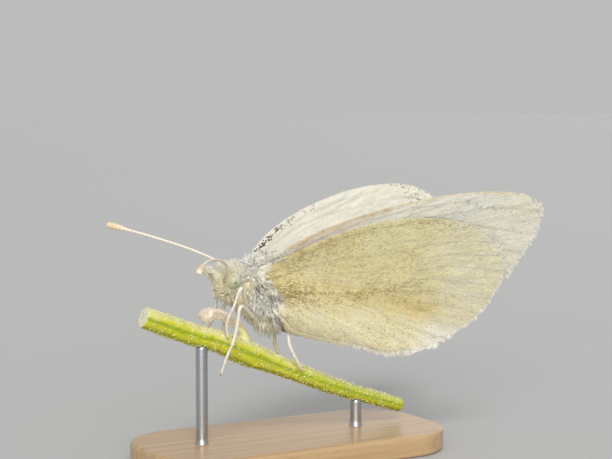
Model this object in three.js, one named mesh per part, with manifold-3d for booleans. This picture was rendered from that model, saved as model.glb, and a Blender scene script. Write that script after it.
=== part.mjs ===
// A small white butterfly at rest on a cut length of plant stem, held by a plain display stand.
// Millimetres, +Z up. The butterfly faces -X and its mid plane is Y = 0, so its left side is -Y.
// The origin is the centre of the base's underside.

import * as THREE from 'three';
import { mergeVertices } from 'three/addons/utils/BufferGeometryUtils.js';
import Module from 'manifold-3d';

const wasm = await Module();
wasm.setup();

// ---------------------------------------------------------------- driving dimensions

const GAP = 0.3; // air left between neighbouring solids
const BODY_PITCH = 21; // degrees that the body's axis falls towards the tail
const HINGE_CENTRE = new THREE.Vector3(-3.05, 0, 15.65); // mid point between the forewing hinges
const HINGE_HALF_SPACING = 1.15;

const WING_THICKNESS = 0.5;
const WING_LEAN = { left: 26, right: 30 }; // degrees that each wing pair opens from the mid plane
const WING_SWEEP = { left: 0, right: 1.2 }; // degrees that each wing pair is drawn forward
const WING_STEP = 0.8; // distance from the forewing's sheet out to the hindwing's
const WING_LEAST_CHORD = 0.01; // keeps the sheet's lowest and highest rows open
const HINDWING_FLAT_ABOVE = 1.2; // heights up the hindwing where its section starts to bend,
const HINDWING_UPRIGHT_BELOW = -0.6; // stands upright,
const HINDWING_TUCK_BELOW = -2.0; // and starts to tuck in under the abdomen
const HINDWING_LOWEST = -4.8;
const HINDWING_TUCK = 70; // degrees at the lowest edge

const EYE_RADIUS = 0.68;
const EYE_RIM = 0.02; // height of the eye's upright rim
const EYE_CENTRE = new THREE.Vector3(-2.11, 0.64, -1.69); // middle of the flat back, in the body's frame
const LIMB_RADIUS = 0.26;
const FEELER_RADIUS = 0.25;
const CLUB_RADIUS = 0.33;
const PALP_RADIUS = 0.27;
const PALP_SPREAD = 0.42; // distance of each palp from the mid plane

const STEM_HEAD_RADIUS = 0.88;
const STEM_TAIL_RADIUS = 0.62;
const STEM_SWELL = 0.18; // added radius where the side shoot leaves
const SHOOT_RADIUS = 0.3;

const BASE_LENGTH = 26;
const BASE_DEPTH = 12.5;
const BASE_HEIGHT = 1.8;
const BASE_CORNER = 4.5;
const BASE_BEVEL = 0.3;
const ROD_RADIUS = 0.5;

// ---------------------------------------------------------------- materials

function finish(colour, roughness, metalness = 0) {
  return new THREE.MeshStandardMaterial({ color: colour, roughness, metalness });
}

const COAT = finish(0xd9dbd3, 0.9);
const EYE = finish(0xb9c3a4, 0.3);
const FEELER = finish(0xe6cfb4, 0.6);
const LIMB = finish(0xe9ddc9, 0.6);
const FOREWING = finish(0xe6e4dd, 0.8);
const HINDWING = finish(0xe0d9ac, 0.8);
const STEM = finish(0x9bab3c, 0.6);
const BASE_WOOD = finish(0xcdb48e, 0.5);
const ROD_STEEL = finish(0xa9acae, 0.35, 1);

// ---------------------------------------------------------------- joining and cutting

function toSolid(geometry) {
  const bare = geometry.clone();
  bare.deleteAttribute('normal');
  bare.deleteAttribute('uv');
  const merged = mergeVertices(bare, 1e-5);
  return new wasm.Manifold(new wasm.Mesh({
    numProp: 3,
    vertProperties: new Float32Array(merged.attributes.position.array),
    triVerts: new Uint32Array(merged.index.array),
  }));
}

function fromSolid(solid) {
  const mesh = solid.getMesh();
  const geometry = new THREE.BufferGeometry();
  geometry.setAttribute('position', new THREE.BufferAttribute(mesh.vertProperties, 3));
  geometry.setIndex(new THREE.BufferAttribute(mesh.triVerts, 1));
  geometry.computeVertexNormals();
  return geometry;
}

// The largest piece of a solid, without the crumbs that a cut can leave.
function mainPiece(solid) {
  return solid.decompose().reduce((a, b) => (a.volume() > b.volume() ? a : b));
}

function cut(geometry, ...tools) {
  const remainder = tools.reduce((solid, tool) => solid.subtract(toSolid(tool)), toSolid(geometry));
  return fromSolid(mainPiece(remainder));
}

// ---------------------------------------------------------------- shape makers

// A closed skin over rings of equal point count, each ring running round the same way.
function skinOver(rings, start, end) {
  const sides = rings[0].length;
  const points = [start, ...rings.flat(), end];
  const last = points.length - 1;
  const at = (ring, side) => 1 + ring * sides + (side % sides);
  const faces = [];
  for (let side = 0; side < sides; side += 1) {
    faces.push(0, at(0, side + 1), at(0, side));
    faces.push(last, at(rings.length - 1, side), at(rings.length - 1, side + 1));
    for (let ring = 0; ring < rings.length - 1; ring += 1) {
      faces.push(at(ring, side), at(ring, side + 1), at(ring + 1, side + 1));
      faces.push(at(ring, side), at(ring + 1, side + 1), at(ring + 1, side));
    }
  }
  const geometry = new THREE.BufferGeometry();
  const coordinates = points.flatMap((point) => point.toArray());
  geometry.setAttribute('position', new THREE.Float32BufferAttribute(coordinates, 3));
  geometry.setIndex(faces);
  geometry.computeVertexNormals();
  return geometry;
}

// A tube of changing radius along a smooth curve through the given points.
function limb(points, radiusAt, steps, sides = 8) {
  const curve = new THREE.CatmullRomCurve3(points, false, 'centripetal');
  const frames = curve.computeFrenetFrames(steps, false);
  const rings = [];
  for (let step = 0; step <= steps; step += 1) {
    const t = step / steps;
    const centre = curve.getPointAt(t);
    const ring = [];
    for (let side = 0; side < sides; side += 1) {
      const turn = (2 * Math.PI * side) / sides;
      ring.push(centre.clone()
        .addScaledVector(frames.normals[step], radiusAt(t) * Math.cos(turn))
        .addScaledVector(frames.binormals[step], radiusAt(t) * Math.sin(turn)));
    }
    rings.push(ring);
  }
  return skinOver(rings, curve.getPointAt(0), curve.getPointAt(1));
}

// A rounded body along X. Each station gives its place x, its lowest and highest z and its half width.
function lump(stations, rings, sides, grow = 0) {
  const spread = (pick) => new THREE.CatmullRomCurve3(
    stations.map((station) => new THREE.Vector3(station.x, pick(station), 0)), false, 'centripetal');
  const lowCurve = spread((station) => station.low);
  const highCurve = spread((station) => station.high);
  const halfCurve = spread((station) => station.half);
  const first = stations[0];
  const last = stations[stations.length - 1];
  const skins = [];
  for (let ring = 0; ring < rings; ring += 1) {
    const t = ring / (rings - 1);
    const low = lowCurve.getPoint(t);
    const high = highCurve.getPoint(t);
    const half = halfCurve.getPoint(t).y;
    const middle = (low.y + high.y) / 2;
    const along = low.x + grow * (2 * t - 1);
    const skin = [];
    for (let side = 0; side < sides; side += 1) {
      const turn = (2 * Math.PI * side) / sides;
      skin.push(new THREE.Vector3(
        along,
        (half + grow) * Math.cos(turn),
        middle + ((high.y - low.y) / 2 + grow) * Math.sin(turn)));
    }
    skins.push(skin);
  }
  const pole = (station, way) => new THREE.Vector3(
    station.x + way * (grow + station.half * 0.3), 0, (station.low + station.high) / 2);
  return skinOver(skins, pole(first, -1), pole(last, 1));
}

// ---------------------------------------------------------------- wings

// A wing is laid out on its own sheet: x runs back along the body and y up the wing from its hinge.
// An edge is a chain of cubic curves from the wing's lowest row to its highest.
function wingEdge(...chain) {
  const samples = chain.flatMap((curve) => curve.getPoints(24));
  return (height) => {
    const above = samples.findIndex((point) => point.y >= height);
    if (above < 0) return samples[samples.length - 1].x;
    if (above === 0) return samples[0].x;
    const p = samples[above - 1];
    const q = samples[above];
    return p.x + ((q.x - p.x) * (height - p.y)) / (q.y - p.y || 1);
  };
}

function cubic(...xy) {
  const [a, b, c, d] = [0, 2, 4, 6].map((i) => new THREE.Vector2(xy[i], xy[i + 1]));
  return new THREE.CubicBezierCurve(a, b, c, d);
}

const FOREWING_SHEET = {
  low: 0.1,
  high: 14.1,
  front: wingEdge(
    cubic(0.7, 0.1, 0.3, 0.1, 0.0, 0.2, -0.05, 0.4),
    cubic(-0.05, 0.4, 0.9, 5.3, 14.5, 15.35, 19.25, 14.1)),
  rear: wingEdge(
    cubic(17.5, 0.1, 19.9, 2.4, 21.1, 6.4, 21.0, 9.6),
    cubic(21.0, 9.6, 20.9, 11.8, 20.5, 14.1, 19.25, 14.1)),
};

const HINDWING_SHEET = {
  low: HINDWING_LOWEST,
  high: 9.85,
  front: wingEdge(
    cubic(4.4, HINDWING_LOWEST, 3.4, -4.1, 1.9, -2.6, 0.75, -2.3),
    cubic(0.75, -2.3, -0.1, -2.0, -0.5, -0.8, -0.5, -0.1),
    cubic(-0.5, -0.1, 4.4, 5.85, 7.6, 9.05, 15.0, 9.85)),
  rear: wingEdge(
    cubic(4.4, HINDWING_LOWEST, 7.0, -4.1, 10.0, -3.75, 12.7, -3.65),
    cubic(12.7, -3.65, 17.4, -1.9, 21.1, 0.6, 20.2, 6.0),
    cubic(20.2, 6.0, 20.0, 8.6, 17.4, 9.85, 15.0, 9.85)),
};

// Each section gives, for a height up the sheet and the wing's lean in radians, the distance out from
// the mid plane, the rise above the hinge and the lean there.
function forewingSection(height, lean) {
  return {
    out: HINGE_HALF_SPACING + height * Math.sin(lean),
    up: height * Math.cos(lean),
    slope: lean,
  };
}

function hindwingSlope(height, lean) {
  if (height < HINDWING_TUCK_BELOW) {
    const share = (HINDWING_TUCK_BELOW - height) / (HINDWING_TUCK_BELOW - HINDWING_LOWEST);
    return THREE.MathUtils.degToRad(HINDWING_TUCK) * share;
  }
  const share = (height - HINDWING_UPRIGHT_BELOW) / (HINDWING_FLAT_ABOVE - HINDWING_UPRIGHT_BELOW);
  return lean * THREE.MathUtils.clamp(share, 0, 1);
}

function hindwingSection(height, lean) {
  const steps = 40;
  const rise = (height - HINDWING_FLAT_ABOVE) / steps;
  let out = HINGE_HALF_SPACING + WING_STEP / Math.cos(lean) + HINDWING_FLAT_ABOVE * Math.sin(lean);
  let up = HINDWING_FLAT_ABOVE * Math.cos(lean);
  for (let step = 0; step < steps; step += 1) {
    const slope = hindwingSlope(HINDWING_FLAT_ABOVE + rise * (step + 0.5), lean);
    out += rise * Math.sin(slope);
    up += rise * Math.cos(slope);
  }
  return { out, up, slope: hindwingSlope(height, lean) };
}

// A closed sheet of even thickness, in the body's frame, on the left or the right.
function wing(sheet, section, place, grow = 0) {
  const rows = 16;
  const columns = 8;
  const side = place === 'left' ? -1 : 1;
  const lean = THREE.MathUtils.degToRad(WING_LEAN[place]);
  const sweep = THREE.MathUtils.degToRad(WING_SWEEP[place]);
  const half = WING_THICKNESS / 2 + grow;
  const low = sheet.low - grow;
  const high = sheet.high + grow;
  const loops = [];
  for (let row = 0; row <= rows; row += 1) {
    const share = (1 - Math.cos((Math.PI * row) / rows)) / 2;
    const height = low + (high - low) * share;
    const reach = THREE.MathUtils.clamp(height, sheet.low, sheet.high);
    const front = sheet.front(reach) - grow;
    const rear = sheet.rear(reach) + grow + WING_LEAST_CHORD;
    const point = (column, face) => {
      const along = front + ((rear - front) * column) / columns;
      const swept = new THREE.Vector2(along, height).rotateAround(new THREE.Vector2(), sweep);
      const { out, up, slope } = section(swept.y, lean);
      return new THREE.Vector3(
        swept.x,
        side * (out + face * half * Math.cos(slope)),
        up - face * half * Math.sin(slope));
    };
    const loop = [];
    for (let column = 0; column <= columns; column += 1) loop.push(point(column, -side));
    for (let column = columns; column >= 0; column -= 1) loop.push(point(column, side));
    loops.push(loop);
  }
  const centre = (loop) => loop.reduce((sum, p) => sum.add(p), new THREE.Vector3()).divideScalar(loop.length);
  return skinOver(loops, centre(loops[0]), centre(loops[rows]));
}

// ---------------------------------------------------------------- body

const HEAD_STATIONS = [
  { x: -2.6, low: -2.3, high: -1.3, half: 0.5 },
  { x: -2.4, low: -2.85, high: -0.75, half: 0.9 },
  { x: -2.0, low: -3.25, high: -0.4, half: 1.15 },
  { x: -1.4, low: -3.2, high: -0.3, half: 1.15 },
  { x: -0.95, low: -2.8, high: -0.6, half: 0.85 },
];

const THORAX_STATIONS = [
  { x: -1.6, low: -2.6, high: -0.7, half: 0.7 },
  { x: -1.2, low: -3.4, high: 0.35, half: 1.2 },
  { x: 0, low: -4.0, high: 1.2, half: 1.5 },
  { x: 1.2, low: -4.4, high: 1.35, half: 1.45 },
  { x: 2.4, low: -4.3, high: 0.7, half: 1.3 },
  { x: 3.3, low: -3.2, high: -0.5, half: 0.9 },
];

const ABDOMEN_STATIONS = [
  { x: 2.8, low: -2.6, high: -0.8, half: 0.85 },
  { x: 4.4, low: -2.85, high: -0.65, half: 1.08 },
  { x: 7.4, low: -2.95, high: -0.75, half: 1.1 },
  { x: 10.2, low: -2.75, high: -1.0, half: 0.85 },
  { x: 11.9, low: -2.3, high: -1.5, half: 0.4 },
];

// A dome on a flat disc, facing out from the mid plane.
function eyeDome(side, grow = 0) {
  const radius = EYE_RADIUS + grow;
  const profile = [new THREE.Vector2(0, -grow), new THREE.Vector2(radius, -grow)];
  const arcs = 4;
  for (let arc = 0; arc <= arcs; arc += 1) {
    const turn = (Math.PI / 2) * (arc / arcs);
    const ringRadius = arc === arcs ? 0 : radius * Math.cos(turn);
    profile.push(new THREE.Vector2(ringRadius, EYE_RIM + radius * Math.sin(turn)));
  }
  const geometry = new THREE.LatheGeometry(profile, 16);
  if (side < 0) geometry.rotateX(Math.PI);
  return geometry.translate(EYE_CENTRE.x, side * EYE_CENTRE.y, EYE_CENTRE.z);
}

// ---------------------------------------------------------------- assembly of the butterfly

const butterfly = new THREE.Group();
const insect = new THREE.Group();
insect.position.copy(HINGE_CENTRE);
insect.rotation.y = THREE.MathUtils.degToRad(BODY_PITCH);
butterfly.add(insect);
insect.updateMatrixWorld(true);

function add(group, name, geometry, material) {
  const mesh = new THREE.Mesh(geometry, material);
  mesh.name = name;
  group.add(mesh);
}

// Limb joints are written in the part's own frame and carried into the body's.
function inBody(joints) {
  return joints.map((joint) => insect.worldToLocal(new THREE.Vector3(...joint)));
}

const SIDES = [{ side: -1, place: 'left' }, { side: 1, place: 'right' }];
const headRoom = lump(HEAD_STATIONS, 9, 20, GAP);
const thoraxRoom = lump(THORAX_STATIONS, 11, 20, GAP);
const wingRooms = SIDES.flatMap(({ place }) => [
  wing(FOREWING_SHEET, forewingSection, place, GAP),
  wing(HINDWING_SHEET, hindwingSection, place, GAP),
]);

add(insect, 'head', cut(lump(HEAD_STATIONS, 9, 20), ...SIDES.map(({ side }) => eyeDome(side, GAP))), COAT);
add(insect, 'thorax', cut(lump(THORAX_STATIONS, 11, 20), headRoom, ...wingRooms), COAT);
add(insect, 'abdomen', cut(lump(ABDOMEN_STATIONS, 11, 16), thoraxRoom), COAT);

for (const { side, place } of SIDES) {
  add(insect, `eye_${place}`, eyeDome(side), EYE);
  add(insect, `forewing_${place}`, wing(FOREWING_SHEET, forewingSection, place), FOREWING);
  add(insect, `hindwing_${place}`, wing(HINDWING_SHEET, hindwingSection, place), HINDWING);
}

// Each feeler curves away from the brow to a club; the left one reaches out level, the right one up.
const FEELERS = {
  antenna_left: [
    [-5.75, -0.45, 15.2], [-6.2, -0.95, 15.9], [-8.3, -3.6, 16.7], [-10.6, -6.6, 16.9], [-12.1, -8.4, 16.55],
  ],
  antenna_right: [
    [-5.65, 0.45, 15.2], [-5.9, 0.85, 15.9], [-6.82, 2.6, 16.67], [-9.5, 6.0, 17.85], [-12.38, 8.6, 18.8],
  ],
};

function feelerRadius(t) {
  const club = THREE.MathUtils.smoothstep(t, 0.84, 0.95);
  return FEELER_RADIUS + (CLUB_RADIUS - FEELER_RADIUS) * club;
}

for (const [name, joints] of Object.entries(FEELERS)) {
  add(insect, name, cut(limb(inBody(joints), feelerRadius, 18), headRoom), FEELER);
}

// The palps curve up in front of the face.
for (const { side, place } of SIDES) {
  const y = side * PALP_SPREAD;
  const joints = [[-5.7, y, 13.4], [-6.4, y, 13.85], [-6.7, y, 14.6], [-7.18, y, 15.48]];
  add(insect, `palp_${place}`, cut(limb(inBody(joints), () => PALP_RADIUS, 8), headRoom), COAT);
}

// Each leg runs from inside the chest by its knee and ankle to the toe.
const LEGS = {
  leg_fore_left: [
    [-4.3, -0.7, 12.6], [-5.8, -2.5, 14.23], [-6.21, -2.1, 12.83], [-6.46, -1.6, 11.47], [-6.3, -1.5, 10.5],
  ],
  leg_fore_right: [
    [-4.3, 0.7, 12.8], [-5.5, 2.1, 13.8], [-5.9, 1.6, 12.48], [-6.5, 1.4, 11.7], [-7.0, 1.3, 11.3],
  ],
  leg_mid_left: [
    [-3.6, -0.6, 11.6], [-5.9, -2.6, 12.8], [-6.1, -2.5, 11.51], [-6.4, -2.25, 9.98], [-6.85, -2.0, 8.78],
    [-7.11, -1.6, 7.49],
  ],
  leg_mid_right: [
    [-3.6, 0.6, 11.8], [-4.9, 2.0, 12.5], [-5.1, 1.8, 11.2], [-5.3, 1.6, 10.2],
  ],
  leg_hind_left: [
    [-2.32, -0.4, 11.4], [-1.03, -0.36, 10.86], [-0.45, -0.32, 10.3], [-0.55, -0.9, 9.23], [0.0, -1.25, 8.15],
    [0.55, -1.4, 7.1],
  ],
  leg_hind_right: [
    [-2.32, 0.4, 11.4], [-1.5, 0.4, 10.8], [-1.2, 0.5, 10.1], [-0.95, 0.95, 9.15], [-0.5, 1.15, 8.35],
  ],
};

for (const [name, joints] of Object.entries(LEGS)) {
  add(insect, name, cut(limb(inBody(joints), () => LIMB_RADIUS, 4 * joints.length), thoraxRoom), LIMB);
}

// ---------------------------------------------------------------- perch

const STEM_ROUTE = [
  [-13.0, 0, 12.2], [-9.2, 0, 10.7], [-6.35, 0, 9.75], [-3.68, 0, 8.55], [0.93, 0, 6.62], [4.76, 0, 5.05],
  [10.7, 0, 3.1],
].map((joint) => new THREE.Vector3(...joint));

const SHOOT_ROUTE = [
  [-3.9, -0.05, 8.8], [-4.35, -0.1, 10.35], [-5.3, -0.1, 11.3], [-6.4, -0.1, 11.92], [-7.3, -0.1, 12.0],
  [-8.0, -0.05, 11.68],
].map((joint) => new THREE.Vector3(...joint));

function stemRadius(t) {
  const swell = STEM_SWELL * Math.exp(-(((t - 0.38) / 0.08) ** 2));
  const tail = THREE.MathUtils.smoothstep(t, 0.3, 1);
  return THREE.MathUtils.lerp(STEM_HEAD_RADIUS, STEM_TAIL_RADIUS, tail) + swell;
}

function shootRadius(t) {
  return SHOOT_RADIUS * (1 + 0.7 * (1 - THREE.MathUtils.smoothstep(t, 0, 0.45)));
}

const stem = toSolid(limb(STEM_ROUTE, stemRadius, 24, 12));
const shoot = toSolid(limb(SHOOT_ROUTE, shootRadius, 14, 10));
add(butterfly, 'perch_stem', fromSolid(stem.add(shoot)), STEM);

// ---------------------------------------------------------------- stand

function baseOutline() {
  const x = BASE_LENGTH / 2 - BASE_BEVEL;
  const y = BASE_DEPTH / 2 - BASE_BEVEL;
  const r = BASE_CORNER - BASE_BEVEL;
  const outline = new THREE.Shape();
  outline.moveTo(x - r, -y);
  outline.absarc(x - r, r - y, r, -Math.PI / 2, 0);
  outline.absarc(x - r, y - r, r, 0, Math.PI / 2);
  outline.absarc(r - x, y - r, r, Math.PI / 2, Math.PI);
  outline.absarc(r - x, r - y, r, Math.PI, 1.5 * Math.PI);
  return outline;
}

const baseGeometry = new THREE.ExtrudeGeometry(baseOutline(), {
  depth: BASE_HEIGHT - 2 * BASE_BEVEL,
  bevelEnabled: true,
  bevelThickness: BASE_BEVEL,
  bevelSize: BASE_BEVEL,
  bevelSegments: 1,
  curveSegments: 7,
}).translate(0, 0, BASE_BEVEL);
add(butterfly, 'stand_base', baseGeometry, BASE_WOOD);

const RODS = { stand_rod_head: -8, stand_rod_tail: 6.3 };
const stemCurve = new THREE.CatmullRomCurve3(STEM_ROUTE, false, 'centripetal');

// The underside of the sloping stem above a place along the stand.
function stemUnderside(x) {
  const slopeAllowance = 1.08;
  let nearest = 0;
  for (let t = 0; t <= 1; t += 0.005) {
    if (Math.abs(stemCurve.getPointAt(t).x - x) < Math.abs(stemCurve.getPointAt(nearest).x - x)) nearest = t;
  }
  return stemCurve.getPointAt(nearest).z - slopeAllowance * stemRadius(nearest);
}

for (const [name, x] of Object.entries(RODS)) {
  const foot = BASE_HEIGHT + GAP;
  const top = stemUnderside(x) - GAP;
  const rod = new THREE.CylinderGeometry(ROD_RADIUS, ROD_RADIUS, top - foot, 16);
  rod.rotateX(Math.PI / 2);
  rod.translate(x, 0, (top + foot) / 2);
  add(butterfly, name, rod, ROD_STEEL);
}

export default butterfly;
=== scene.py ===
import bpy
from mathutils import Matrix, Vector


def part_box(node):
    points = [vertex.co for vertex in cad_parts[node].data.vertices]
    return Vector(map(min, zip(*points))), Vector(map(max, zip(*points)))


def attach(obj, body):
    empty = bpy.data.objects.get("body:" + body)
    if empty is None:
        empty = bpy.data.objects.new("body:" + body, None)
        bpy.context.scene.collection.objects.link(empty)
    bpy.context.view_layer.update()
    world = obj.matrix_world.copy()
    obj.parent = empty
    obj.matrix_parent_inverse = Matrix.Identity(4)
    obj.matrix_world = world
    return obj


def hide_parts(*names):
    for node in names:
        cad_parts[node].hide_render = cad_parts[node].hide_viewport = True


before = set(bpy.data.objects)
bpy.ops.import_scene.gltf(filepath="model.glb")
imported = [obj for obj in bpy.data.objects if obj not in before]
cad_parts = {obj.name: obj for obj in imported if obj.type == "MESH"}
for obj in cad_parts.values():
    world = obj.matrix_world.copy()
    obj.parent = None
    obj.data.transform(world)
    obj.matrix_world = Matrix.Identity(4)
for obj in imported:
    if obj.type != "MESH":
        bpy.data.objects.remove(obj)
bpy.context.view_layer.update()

# A small white butterfly on a cut stem, held over a plain stand. This file dresses the packed solids with
# wings of scaled membrane, a hairy body, eyes, feelers, legs, the stem and the stand. Points are worked out
# in millimetres and turned into metres as each mesh is made.

import math

import bpy
import numpy as np
from bpy.types import Operator, Panel, PropertyGroup
from mathutils import Vector
from mathutils.geometry import delaunay_2d_cdt
from numpy.linalg import norm

bl_info = {
    "name": "Small white butterfly",
    "version": (1, 0, 0),
    "blender": (4, 5, 0),
    "location": "3D View > Sidebar > Butterfly",
    "description": "Builds a small white butterfly on a cut stem over a plain stand",
    "category": "Object",
}

MM = 0.001
TAU = 2 * math.pi
BODY = "root"
PATCH = 0.003  # width of one hair's or scale's patch on its bake map

# ---- sizes and places, in millimetres and in the part's frame where nothing else is said

BODY_PITCH = math.radians(21)
HINGE_CENTRE = np.array((-3.05, 0.0, 15.65))
HINGE_HALF_SPACING = 1.15
WING_LEAN = {"left": math.radians(26), "right": math.radians(30)}
WING_SWEEP = {"left": 0.0, "right": math.radians(1.2)}
WING_STEP = 0.8
HINDWING_FLAT_ABOVE = 1.2
HINDWING_UPRIGHT_BELOW = -0.6
HINDWING_TUCK_BELOW = -2.0
HINDWING_LOWEST = -4.8
HINDWING_TUCK = math.radians(70)
SIDES = {"left": -1, "right": 1}
BODY_AXIS = -1.7  # height of the body's middle line, in its own frame
EYE_HEART = np.array((-1.94, 0.64, -1.79))  # middle of the right eye, in the body's frame
EYE_SHIFT = (0.17, 0, -0.1)  # from the middle of an eye's solid to its dome's, in the body's frame

# The body's own directions.
BACK = np.array((1.0, 0, 0))
UP = np.array((0, 0, 1.0))

# Where each kind of piece starts its random draws.
SEEDS = {
    "skin": 7, "thorax": 11, "head": 12, "abdomen": 13, "wing_roots": 14, "legs": 21, "stem": 31,
    "scales": 100, "fringes": 200,
}

# Hairs on each part of the coat.
THORAX_HAIRS = 12200
HEAD_HAIRS = 12600
ABDOMEN_HAIRS = 10000
WING_ROOT_HAIRS = {"fore": 450, "hind": 4600}
WING_EDGE_HAIRS = 2600
EYE_RIM_HAIRS = 300
LEG_BRISTLES = 600
CRUST_BRISTLES = 2200
# Each kind of bristle on the stem: how many there are, their length, how far they lie over and their width.
STEM_BRISTLES = ((900, 0.15, 0.4, 0.1), (420, 0.24, 1.3, 0.1), (520, 0.11, 0.3, 0.22))

# The stretch of the body that each coat's bake map unrolls.
THORAX_MAP = (-1.3, 3.4)
HEAD_MAP = (-3.6, -1)
ABDOMEN_MAP = (3, 12)

# Each station of a body part: its place along the body, its lowest and highest point and its half width.
HEAD_STATIONS = (
    (-2.6, -2.3, -1.3, 0.5), (-2.4, -2.85, -0.75, 0.9), (-2, -3.25, -0.4, 1.15), (-1.4, -3.2, -0.3, 1.15),
    (-0.95, -2.8, -0.6, 0.85),
)
THORAX_STATIONS = (
    (-1.6, -2.6, -0.7, 0.7), (-1.2, -3.4, 0.35, 1.2), (0, -4, 1.2, 1.5), (1.2, -4.4, 1.35, 1.45),
    (2.4, -4.3, 0.7, 1.3), (3.3, -3.2, -0.5, 0.9),
)
ABDOMEN_STATIONS = (
    (2.8, -2.6, -0.8, 0.85), (4.4, -2.85, -0.65, 1.08), (7.4, -2.95, -0.75, 1.1), (10.2, -2.75, -1, 0.85),
    (11.9, -2.3, -1.5, 0.4),
)

FEELER_ROUTES = {
    "antenna_left": (
        (-5.75, -0.45, 15.2), (-6.2, -0.95, 15.9), (-8.35, -3.57, 16.7), (-10.8, -6.5, 16.9),
        (-12.3, -8.3, 16.37),
    ),
    "antenna_right": (
        (-5.65, 0.45, 15.2), (-5.9, 0.85, 15.9), (-6.82, 2.6, 16.67), (-9.5, 6, 17.85), (-12.38, 8.6, 18.8),
    ),
}
# Dark spots of the left eye in the body's frame: place, size and strength.
EYE_SPOTS = (
    ((-2.28, 1.22, -1.47), 0.11, 0.95), ((-2.02, 1.3, -1.95), 0.13, 0.6), ((-1.72, 1.18, -1.5), 0.06, 0.35),
    ((-2.45, 1.05, -1.98), 0.07, 0.4), ((-1.8, 1.1, -2.15), 0.06, 0.3),
)
PALP_ROUTE = ((-5.7, 0.42, 13.4), (-6.4, 0.42, 13.85), (-6.7, 0.42, 14.6), (-7.18, 0.42, 15.48))

# Each leg runs from inside the chest by its knee and ankle to the toe that grips the stem.
LEG_ROUTES = {
    "leg_fore_left": (
        (-4.3, -0.7, 12.6), (-5.8, -2.5, 14.23), (-6.21, -2.1, 12.83), (-6.46, -1.4, 11.47),
        (-6.34, -1.15, 10.69), (-6.18, -1.05, 10.22),
    ),
    "leg_fore_right": (
        (-4.3, 0.7, 12.8), (-5.5, 2.1, 13.8), (-5.9, 1.6, 12.48), (-6.25, 1.2, 11.98), (-6.67, 0.9, 11.36),
        (-7.09, 0.6, 10.89),
    ),
    "leg_mid_left": (
        (-3.6, -0.6, 11.6), (-5.9, -2.6, 12.8), (-6.1, -2.5, 11.51), (-6.4, -2.25, 9.98), (-6.85, -2, 8.78),
        (-7.11, -1.6, 7.49),
    ),
    "leg_mid_right": (
        (-3.6, 0.6, 11.8), (-4.9, 2, 12.5), (-5.1, 1.8, 11.2), (-5.3, 1.5, 10.3), (-5.4, 1.1, 9.75),
    ),
    "leg_hind_left": (
        (-2.32, -0.4, 11.4), (-1.03, -0.36, 10.86), (-0.45, -0.32, 10.3), (-0.55, -0.9, 9.23),
        (0.01, -1.2, 7.85), (0.56, -1, 7.08),
    ),
    "leg_hind_right": (
        (-2.32, 0.4, 11.4), (-1.5, 0.4, 10.8), (-1.15, 0.55, 10.1), (-0.9, 0.95, 9.15), (-0.79, 0.6, 8.36),
    ),
}

STEM_ROUTE = (
    (-13, 0, 12.2), (-9.2, 0, 10.7), (-6.35, 0, 9.75), (-3.68, 0, 8.55), (0.93, 0, 6.62), (4.76, 0, 5.05),
    (10.7, 0, 3.1),
)
STEM_HEAD_RADIUS = 0.88
STEM_TAIL_RADIUS = 0.62
STEM_SWELL = 0.18
SHOOT_ROUTE = (
    (-3.9, -0.05, 8.8), (-4.35, -0.1, 10.35), (-5.3, -0.1, 11.3), (-6.4, -0.1, 11.92), (-7.3, -0.1, 12),
    (-8, -0.05, 11.68),
)
SHOOT_RADIUS = 0.3
SHOOT_STEPS = 80
STEM_STEPS = 240
STEM_SIDES = 48
FEELER_STEPS = 260
FEELER_SIDES = 20
FEELER_RINGS = 34
LEG_STEPS = 150
LEG_SIDES = 16
GREEN_LEG = "leg_hind_right"

# Hair over the wings' roots: the line where it ends, how far back it is rooted and how far it lies out.
ROOT_HAIR = {
    "hind": (((0.9, 1.6), (0.45, 0.8), (0.6, -0.6), (1.4, -1.5), (2.5, -2.2), (3.2, -3.2)), 1.3, 1.0),
    "fore": (((1.5, 2.6), (0.9, 1.6), (0.9, 0.6)), 0.9, 0.3),
}
WING_LOWER_EDGE = ((0.5, -2.1), (1.9, -3.3), (3, -4.1), (4.4, -4.75), (6.5, -4.5), (9, -4.15))

# ---- small sums


def columns(*parts):
    """Runs of numbers side by side, any of which may be one number."""
    return np.column_stack(np.broadcast_arrays(*parts))


def unit(vectors):
    """The vectors at length one."""
    return vectors / np.maximum(norm(vectors, axis=-1, keepdims=True), 1e-9)


def ease(low, high, value):
    """0 below low, 1 above high and smooth between them."""
    share = np.clip((np.asarray(value, float) - low) / (high - low), 0, 1)
    return share * share * (3 - 2 * share)


def bell(value, width):
    """1 where the value is 0, falling smoothly to nothing past the width."""
    return np.exp(-(value / width) ** 2)


def blend(*parts):
    """A sum of directions, each given with how much of it there is."""
    return sum(way * np.reshape(share, (-1, 1)) for way, share in parts)


def draws(kind, step=0):
    """A fixed run of random numbers for one kind of piece."""
    return np.random.default_rng(SEEDS[kind] + step)


def spread(size, low, high, count, rng):
    """Random lengths in millimetres, from low to high times a size setting."""
    return size / MM * rng.uniform(low, high, count)


def swung(first, second, angle):
    """Two coordinates after a turn in their own plane."""
    cosine, sine = math.cos(angle), math.sin(angle)
    return first * cosine + second * sine, second * cosine - first * sine


def from_body(points):
    """Points of the body's pitched frame, in the part's frame."""
    along, across, up = np.moveaxis(np.asarray(points, float), -1, 0)
    along, up = swung(along, up, BODY_PITCH)
    return np.stack((along, across, up), axis=-1) + HINGE_CENTRE


def turn_to_body(vectors):
    """Directions of the part's frame, in the body's."""
    x, y, z = np.moveaxis(np.asarray(vectors, float), -1, 0)
    x, z = swung(x, z, -BODY_PITCH)
    return np.stack((x, y, z), axis=-1)


def turn_from_body(vectors):
    """Directions of the body's frame, in the part's."""
    return from_body(vectors) - HINGE_CENTRE


def to_body(points):
    """Points of the part's frame, in the body's."""
    return turn_to_body(np.asarray(points, float) - HINGE_CENTRE)


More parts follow.
